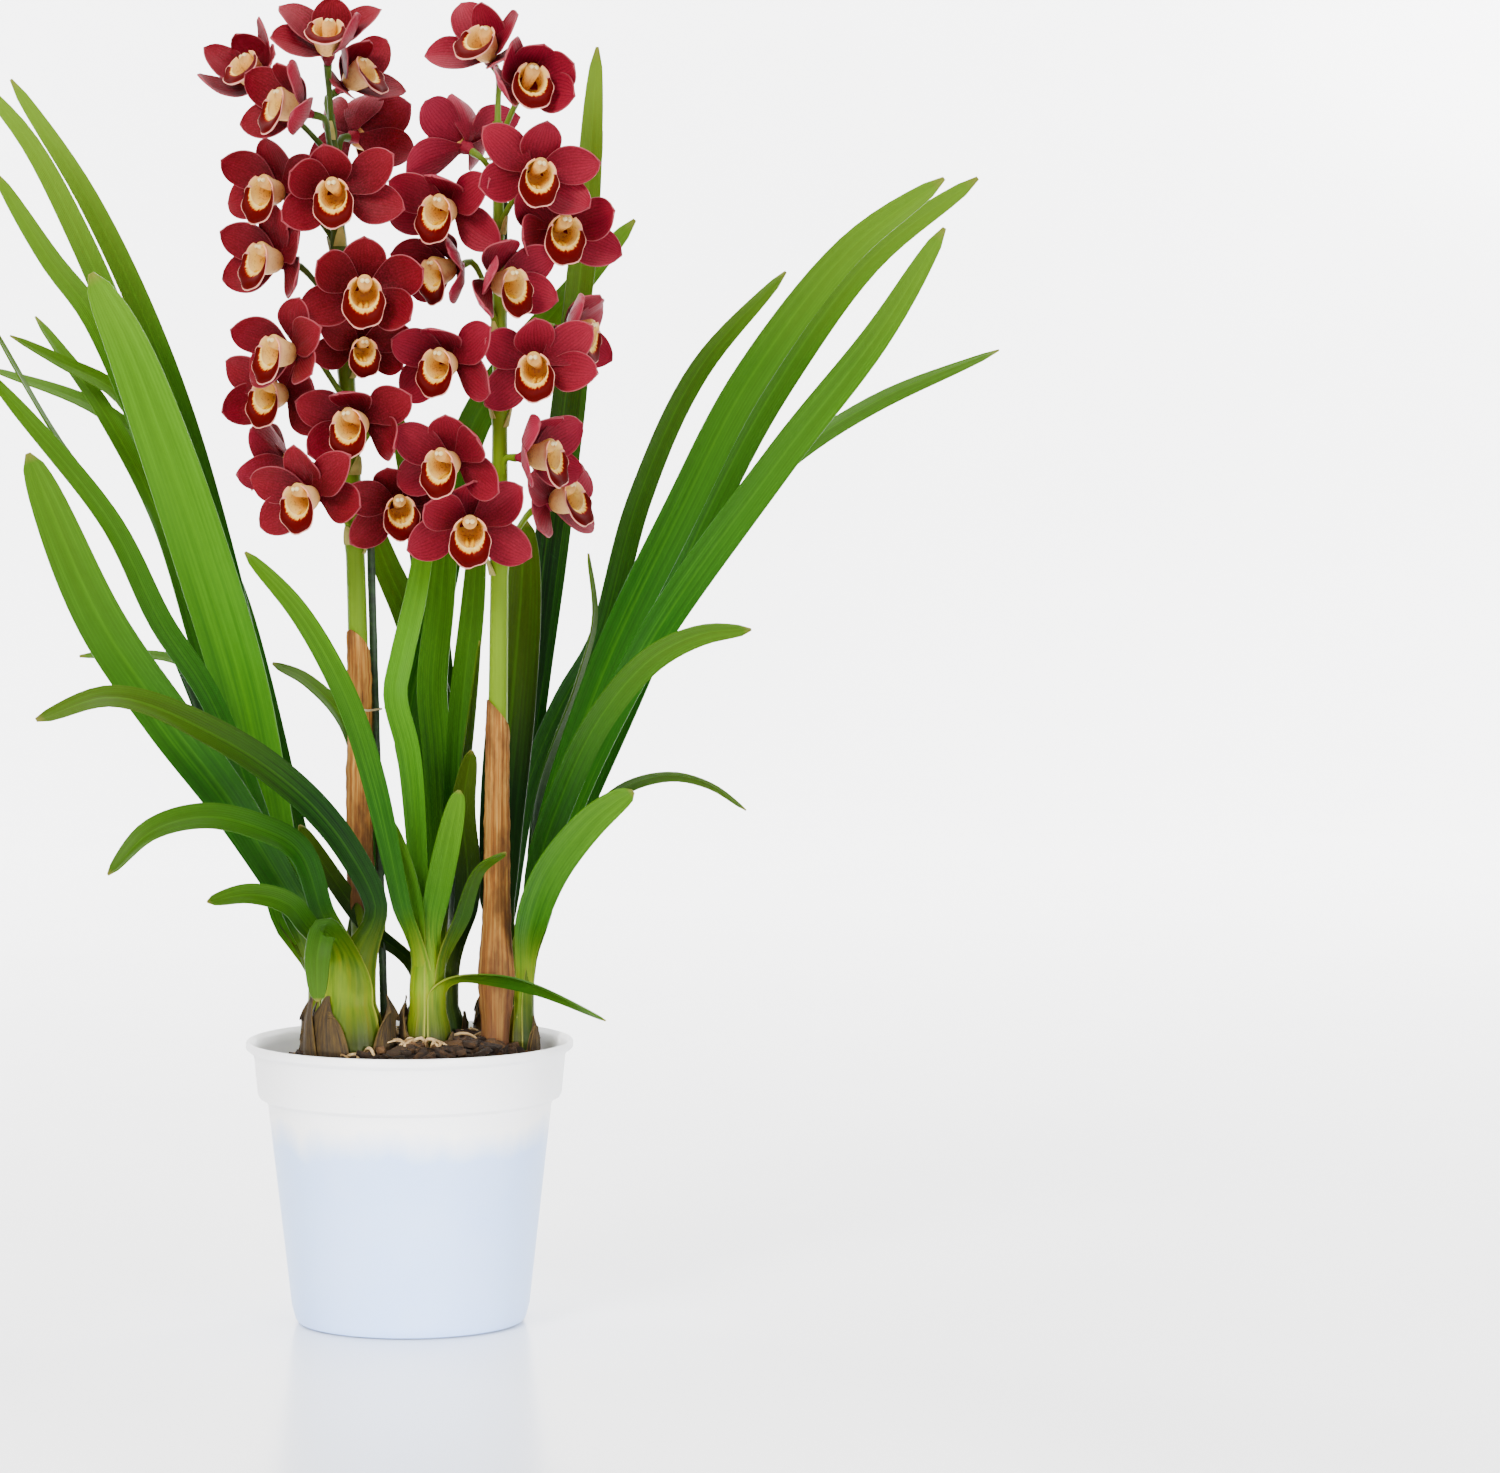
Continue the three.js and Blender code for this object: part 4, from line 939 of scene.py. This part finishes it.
def throat_place(side, share):
    """Round the throat's wall from one side of its top slit to the other, and out to its mouth."""
    turn = math.radians(-90 + side * 152)
    radius = smooth_value(THROAT_RADIUS, share)
    ahead = smooth_value(THROAT_AHEAD, share) + share * (1.2 * side * side - side**4)
    ruffle = 0.3 * math.sin(turn * 5) * share**4
    return around((0, MOUTH.y), turn, radius, ahead, (radius + ruffle) * 1.05)


# How far the tongue stands out of the mouth, by how far round from its middle.
TONGUE_REACH = [(0, 7.6), (0.3, 6.5), (0.55, 4.2), (0.8, 2.2), (1, 0.8)]
TONGUE_INNER = 6.2


def tongue_place(side, share):
    """Round the mouth's lower rim, outwards and a little ahead, with its edge frilled."""
    turn = math.radians(-90 + side * 108)
    reach = smooth_value(TONGUE_REACH, abs(side))
    frill = 0.45 * share**3 * math.sin(side * 16) * min(1, reach / 3)
    out = TONGUE_INNER + (reach + frill) * share
    ahead = 15.3 + 0.42 * reach * math.sin(2.3 * share) + 1.2 * side * side * share + frill
    return around((0, MOUTH.y), turn, -out, ahead, 1.1 * out)


# The column's radius and the height of its middle, from its root to its nose.
COLUMN_RADIUS = [(0, 2.2), (0.5, 2.8), (0.8, 3.1), (0.93, 2.5), (1, 0.3)]
COLUMN_ARCH = [(0, 0.6), (0.5, 2.6), (0.85, 3.7), (1, 3.5)]


def column_place(side, share):
    """The column: a club that arches over the throat and ends in a blunt nose."""
    turn = math.radians(90 - side * 179.5)
    arch = smooth_value(COLUMN_ARCH, share)
    return around((0, arch), turn, smooth_value(COLUMN_RADIUS, share), 2.8 + 13.6 * share)


def make_cap_lobe(side):
    """One half of the pale anther cap at the column's nose."""
    bpy.ops.mesh.primitive_uv_sphere_add(segments=12, ring_count=8, radius=1.2, location=(side, 4.2, 15.6))
    lobe = bpy.context.object
    bpy.ops.transform.resize(value=(0.95, 0.9, 1.2))
    bpy.ops.object.transform_apply(location=True, rotation=True, scale=True)
    bpy.ops.object.shade_smooth()
    lobe.data.materials.append(ANTHER_CAP)
    return lobe


# The points of one ridge in the throat with its radii, and how far ahead the joint to the stalk is
# with its radii.
RIDGE = [(1.5, -5.2, 4, 0.5), (1.35, -6.4, 9, 0.95), (1.2, -7.0, 13.4, 1), (1.1, -7.3, 15, 0.5)]
JOINT = [(-BLOOM_BACK, 1.9), (-2.4, 2.5), (-0.6, 3.4), (2, 3.5)]


def make_bloom_pattern():
    """One bloom in its own frame: x to its right, y up and z the way it faces."""
    ridges = [([(side * x, y, z) for x, y, z, _ in RIDGE], [row[3] for row in RIDGE], 0) for side in (-1, 1)]
    joint = ([(0, MOUTH.y, z) for z, _ in JOINT], [radius for _, radius in JOINT], 0)
    pieces = [
        *(make_tepal(number + 1, tepal) for number, tepal in enumerate(TEPALS)),
        sheet("throat", 26, 12, throat_place, 0.6, [THROAT_OUTSIDE, THROAT_INSIDE]),
        sheet("tongue", 28, 10, tongue_place, 0.6, [LIP_TONGUE]),
        sheet("column", 16, 12, column_place, 0.3, [COLUMN_SKIN]),
        make_cap_lobe(-0.95),
        make_cap_lobe(0.95),
        rods("callus", ridges, 1, [CALLUS]),
        rods("joint", [joint], 1, [PETAL_BACK]),
    ]
    return joined("bloom_pattern", pieces)


def bloom_frame(bloom):
    """The bloom's place and turn in the plant."""
    a = math.radians(bloom.azimuth)
    p = math.radians(bloom.pitch)
    forward = Vector((math.sin(a) * math.cos(p), -math.cos(a) * math.cos(p), math.sin(p)))
    right = UP.cross(forward).normalized()
    right.rotate(Quaternion(forward, math.radians(bloom.roll)))
    axes = Matrix((right, forward.cross(right), forward)).transposed().to_4x4()
    turn = axes @ Matrix.Scale(bloom.size / 100, 4)
    return Matrix.Translation(Vector((bloom.x, bloom.y, bloom.z)) - (turn @ MOUTH)) @ turn


# Above this height the blooms are younger: their tepals lean forward, in the end by these degrees.
YOUNG_HEIGHT = 528
YOUNG_LEAN = 16


def tepal_pose(direction, young, draw):
    """A tepal's lean at its root, how far it bends and twists towards its tip, and its swing."""
    outward, sideways = tepal_directions(direction)
    lean = math.radians(young + draw.uniform(-7, 14))
    bend = math.radians(draw.uniform(-18, 22))
    swing = Quaternion((0, 0, 1), math.radians(draw.uniform(-7, 7)))
    twist = math.radians(draw.uniform(-20, 20))

    def pose(point, share):
        leaned = Quaternion(sideways, lean + bend * share * share)
        return swing @ leaned @ Quaternion(outward, twist * share) @ point

    return pose


def make_bloom(spike, bloom, pattern, draw):
    """A copy of the pattern, each tepal leaned, bent and twisted a little its own way. The topmost
    blooms are younger and less open."""
    mesh = pattern.data.copy()
    made = placed(f"orchid_bloom_{spike}_{bloom.name}", mesh)
    young = YOUNG_LEAN * ease((bloom.z - YOUNG_HEIGHT) / 50)
    poses = [tepal_pose(tepal[0], young, draw) for tepal in TEPALS]
    numbers = mesh.attributes["tepal"].data
    shares = mesh.attributes["share"].data
    for index, vertex in enumerate(mesh.vertices):
        number = round(numbers[index].value)
        if number:
            vertex.co = poses[number - 1](vertex.co, shares[index].value)
    label(made, "tone", bloom.rosy)
    mesh.transform(bloom_frame(bloom))
    return made


STEM_STEPS = 110
STALK_STEPS = 12
STALK_RADIUS = [(0, 2.0), (0.15, 1.5), (0.6, 1.35), (0.85, 1.7), (1, 2.0)]


def stem_share(line, z):
    return min(range(len(line)), key=lambda k: abs(line[k].z - z)) / (len(line) - 1)


def stalk_points(line, bloom):
    """A stalk's way from the stem to the back of its bloom."""
    place = bloom_frame(bloom)
    forward = Vector(place.col[2][:3]).normalized()
    end = place @ Vector((0, MOUTH.y, -BLOOM_BACK)) - forward * 0.3
    before = end - forward * 6
    start = line[round(STEM_STEPS * stem_share(line, min(end.z - bloom.drop, line[-1].z - 2)))]
    middle = start.lerp(before, 0.5) + Vector((0, 0, 1))
    return route([start, middle, before, end], STALK_STEPS)


def make_stem_bract(name, points, hold):
    """The small bract that a stalk starts from."""
    start = points[0]
    leaving = (points[3] - start).normalized()
    bearing = math.atan2(leaving.y, leaving.x)

    def place(side, share):
        turn = bearing + side * 0.8 * (1 - 0.8 * share)
        return around(start, turn, hold + 1.8 * share, start.z - 3.5 + 8.5 * share)

    return sheet(name, 4, 5, place, 0.5, [STEM_BRACT])


def make_spike(name, spike, blooms):
    """The stem with a slight knee at each stalk, the stalks, and a small bract under each."""
    line = route(spike.line, STEM_STEPS)
    starts = [stalk_points(line, bloom) for bloom in blooms]
    bracts = []
    for points in starts:
        hold = smooth_value(spike.radius, stem_share(line, points[0].z)) + 0.5
        bracts.append(make_stem_bract(f"{name}_bract", points, hold))
    radii = []
    for k in range(STEM_STEPS + 1):
        knee = sum(math.exp(-(((line[k].z - points[0].z) / 2.2) ** 2)) for points in starts)
        radii.append(smooth_value(spike.radius, k / STEM_STEPS) + 0.35 * min(1, knee))
    thin = [smooth_value(STALK_RADIUS, k / STALK_STEPS) for k in range(STALK_STEPS + 1)]
    stalks = [(points, thin, 1) for points in starts]
    skins = [STEM_LEFT, STALK_DARK] if name == "left" else [STEM_RIGHT, STALK_PALE]
    rod = rods(f"{name}_stem", [(line, radii, 0), *stalks], 2, skins)
    return joined(f"flower_stem_{name}", [rod, *bracts])


# Each sleeve's foot and top, and how far it stands off its stem along its length.
SLEEVES = {
    "left": (190, 318, [(0, 0.2), (0.3, 0.3), (0.7, 0.1), (1, 0)]),
    "right": (124, 286, [(0, 0.3), (0.1, 1.0), (0.2, 2.3), (0.34, 1.1), (0.52, 0.3), (1, 0.1)]),
}
SLEEVE_TURNS = 1.14


def make_sleeve(name, spike, draw):
    """A dry sheath rolled round the stem, its edges overlapping, slit down to a point at its top."""
    low, high, wall = SLEEVES[name]
    line = route(spike.line, STEM_STEPS)
    seam = draw.uniform(-2.4, -1.4)
    phases = [draw.uniform(0, 6) for _ in range(3)]

    def place(side, share):
        turn = seam + side * math.pi * SLEEVE_TURNS
        slit = 24 * abs(side + 0.25) ** 1.6 * share**5
        frayed = 3 * math.sin(side * 13 + phases[0]) * (1 - share) ** 6
        z = low + (high - low) * share - slit + frayed
        k = stem_share(line, z)
        crease = 0.18 * math.sin(turn * 5 + share * 7 + phases[1]) + 0.1 * math.sin(z * 0.75 + side * 2)
        ring = 0.35 * math.exp(-(((z - low) % 43 - 20) ** 2) / 9)
        bulge = 0.7 * (0.5 + 0.5 * math.sin(z / 8.5 + phases[2] + side)) * (1 - share)
        stand = 0.6 + smooth_value(wall, share) + crease + ring + bulge + 0.26 * side
        return around(line[round(k * STEM_STEPS)], turn, smooth_value(spike.radius, k) + stand, z)

    return sheet(f"dry_sleeve_{name}", 32, 60, place, 0.45, [SLEEVE_PAPER])


# Each stake's foot, top and radius, and each tie's height and how thick the sleeve under it is.
STAKES = {
    "left": ((-11, 11.5, 108), (-17.2, 14, 366), 2.0),
    "right": ((41, 14, 108), (45, 4.6, 540), 1.6),
}
TIES = {"left": (281, 1.4), "right": (532, 0.0)}


def make_stake(name):
    foot, top, radius = STAKES[name]
    points = route([foot, Vector(foot).lerp(Vector(top), 0.5), top], 24)
    radii = [radius + 0.08 * math.sin(k * 2.4) for k in range(24)] + [radius * 0.7]
    return rods(f"stake_rod_{name}", [(points, radii, 0)], 2, [STAKE_COAT])


def tie_tail(start, side, turn):
    """One of a tie's two ends, which wind round each other."""
    tail = []
    for k in range(9):
        coil = Vector((0.5 * math.cos(k + turn), 0.2, 0.5 * math.sin(k + turn)))
        tail.append(start + side * (0.6 * k) + coil)
    return tail, [0.5] * 9, 0


def make_tie(name, spike):
    """A wire bent round the stem and its stake, with its two ends twisted together."""
    z, sleeve = TIES[name]
    foot, top, stake_radius = STAKES[name]
    line = route(spike.line, STEM_STEPS)
    share = stem_share(line, z)
    stem = line[round(share * STEM_STEPS)]
    rod = Vector(foot).lerp(Vector(top), (z - foot[2]) / (top[2] - foot[2]))
    heading = math.atan2(rod.y - stem.y, rod.x - stem.x)
    big = smooth_value(spike.radius, share) + sleeve + 0.9
    small = stake_radius + 0.8
    points = []
    for step in range(17):
        points.append(around(stem, heading + math.pi * (0.5 + step / 16), big, z + 0.3 * math.sin(step)))
    for step in range(9):
        points.append(around(rod, heading - math.pi * (0.5 - step / 8), small, z))
    points.append(points[0] + Vector((0, 0, 0.9)))
    loop = (points, [0.55] * len(points), 0)
    side = around((0, 0), heading + math.pi / 2, 1, 0)
    tails = [tie_tail(points[0], side, turn) for turn in (0, math.pi)]
    return rods(f"wire_tie_{name}", [loop, *tails], 1, [TIE_COAT])


pattern = make_bloom_pattern()
for side_name, spike in SPIKES.items():
    draw = random.Random(side_name)
    blooms = [Bloom(*row) for row in spike.blooms]
    made = {
        "spike": make_spike(side_name, spike, blooms),
        "sleeve": make_sleeve(side_name, spike, draw),
        "stake": make_stake(side_name),
        "tie": make_tie(side_name, spike),
    }
    for kind, piece in made.items():
        settle(piece, f"{kind}_{side_name}")
    for bloom in blooms:
        settle(make_bloom(side_name, bloom, pattern, draw), f"bloom_{side_name}_{bloom.name}")
bpy.data.objects.remove(pattern)

# Bark mix

HEAP_TOP = [(0, 129.5), (30, 128.5), (42, 126), (52, 120.5), (60, 115.5), (68.2, 112.5)]
HEAP = [(0, 2.9), (49.6, 2.9), (52.7, 9.3), (63.2, 101.8), (67.5, 106.2), *reversed(HEAP_TOP)]
CHIP_COUNT = 520
ROOT_COUNT = 90
ROOT_STEPS = 14


def make_chip(draw):
    """One splinter of bark: a cube with its edges bevelled and its corners knocked about."""
    bpy.ops.object.select_all(action="DESELECT")
    bpy.ops.mesh.primitive_cube_add(size=1)
    chip = bpy.context.object
    bpy.ops.object.mode_set(mode="EDIT")
    bpy.ops.mesh.select_all(action="SELECT")
    bpy.ops.mesh.bevel(offset=0.14, segments=1)
    bpy.ops.object.mode_set(mode="OBJECT")
    for vertex in chip.data.vertices:
        vertex.co += Vector(draw.uniform(-0.1, 0.1) for _ in range(3))
    return chip


def chip_place(draw):
    """A loose chip's size, and its place and tilt on the heap."""
    radius = 66 * math.sqrt(draw.random())
    turn = draw.uniform(0, 2 * math.pi)
    size = (draw.uniform(4, 11), draw.uniform(3, 7), draw.uniform(1.6, 4))
    z = smooth_value(HEAP_TOP, radius) + draw.uniform(-0.6, 1.6)
    return (
        Matrix.Translation(around((0, 0), turn, radius, z))
        @ Matrix.Rotation(draw.uniform(0, 2 * math.pi), 4, "Z")
        @ Matrix.Rotation(draw.uniform(-0.5, 0.5), 4, "X")
        @ Matrix.Rotation(draw.uniform(-0.5, 0.5), 4, "Y")
        @ Matrix.Diagonal((*size, 1))
    )


def make_loose_chips(draw):
    chips = [make_chip(draw) for _ in range(5)]
    loose = bmesh.new()
    tone = loose.verts.layers.float.new("tone")
    for _ in range(CHIP_COUNT):
        place = chip_place(draw)
        before = len(loose.verts)
        loose.from_mesh(draw.choice(chips).data)
        loose.verts.ensure_lookup_table()
        fresh = draw.random() ** 3
        for vertex in loose.verts[before:]:
            vertex.co = place @ vertex.co
            vertex[tone] = fresh
    mesh = bpy.data.meshes.new("loose_chips")
    loose.to_mesh(mesh)
    loose.free()
    mesh.materials.append(BARK_CHIP)
    for chip in chips:
        bpy.data.objects.remove(chip)
    return placed("loose_chips", mesh)


def root_route(draw):
    """A root that leaves a growth, rises and dives among the chips, and its thickness."""
    growth = draw.choice(list(GROWTHS.values()))
    away = around((0, 0), draw.uniform(0, 2 * math.pi), 1, 0)
    side = Vector((-away.y, away.x, 0))
    start = Vector((*growth.centre, 0)) + away * growth.radii[0] * 0.8
    length = draw.uniform(10, 22)
    points = []
    for share in (0, 0.3, 0.6, 1):
        at = start + away * length * share + side * draw.uniform(-3, 3)
        at *= min(1, 64 / max(1, at.length))
        lift = (3.2 if 0 < share < 1 else -2.5) + draw.uniform(-1, 1)
        points.append((at.x, at.y, smooth_value(HEAP_TOP, at.length) + lift))
    thick = draw.uniform(0.4, 1.0)
    radii = [thick * (1 - 0.3 * k / ROOT_STEPS) for k in range(ROOT_STEPS + 1)]
    return route(points, ROOT_STEPS), radii, int(draw.random() < 0.55)


def make_bark():
    """The heap, with loose chips on top and roots among them."""
    draw = random.Random(11)
    heap = turned("heap", HEAP, 72, BARK_CHIP)
    label(heap, "tone", 0.0)
    cover = make_loose_chips(draw)
    web = rods("roots", [root_route(draw) for _ in range(ROOT_COUNT)], 1, [ROOT_SKIN, ROOT_OLD])
    return joined("bark_heap", [heap, cover, web])


settle(make_bark(), "bark_mix")

# Floor

# The floor runs back and curves up into the wall. These are in metres.
FLOOR_FRONT = -7
FLOOR_SINK = 0.0005
CURVE_START = 2.6
CURVE_RADIUS = 1.0
WALL_HEIGHT = 6
HALF_WIDTH = 7


def sweep_place(side, share):
    """Along the floor for the first half, round the curve, and up the wall."""
    ahead = ease(min(share, 0.5) * 2)
    turn = math.pi / 2 * min(1, max(0, share - 0.5) / 0.3)
    rise = max(0, share - 0.8) / 0.2 * WALL_HEIGHT
    y = FLOOR_FRONT + (CURVE_START - FLOOR_FRONT) * ahead + CURVE_RADIUS * math.sin(turn)
    return Vector((side * HALF_WIDTH, y, CURVE_RADIUS * (1 - math.cos(turn)) + rise - FLOOR_SINK))


bpy.ops.object.select_all(action="DESELECT")
bpy.ops.mesh.primitive_grid_add(x_subdivisions=1, y_subdivisions=40, size=2)
floor = bpy.context.object
floor.name = "floor"
for vertex in floor.data.vertices:
    vertex.co = sweep_place(vertex.co.x, (vertex.co.y + 1) / 2)
bpy.ops.object.shade_smooth()
# Studio table: pale lacquered board, with a faint sheen under what stands on it.
board, shader, place = surface("pale_lacquered_board", Roughness=0.22, IOR=1.45, Specular_IOR_Level=0.35)
shades = ramp(noise(place, 3), [(0.3, "#f7f7f8"), (0.7, "#fbfbfc")])
floor.data.materials.append(dressed(board, shader, shades))
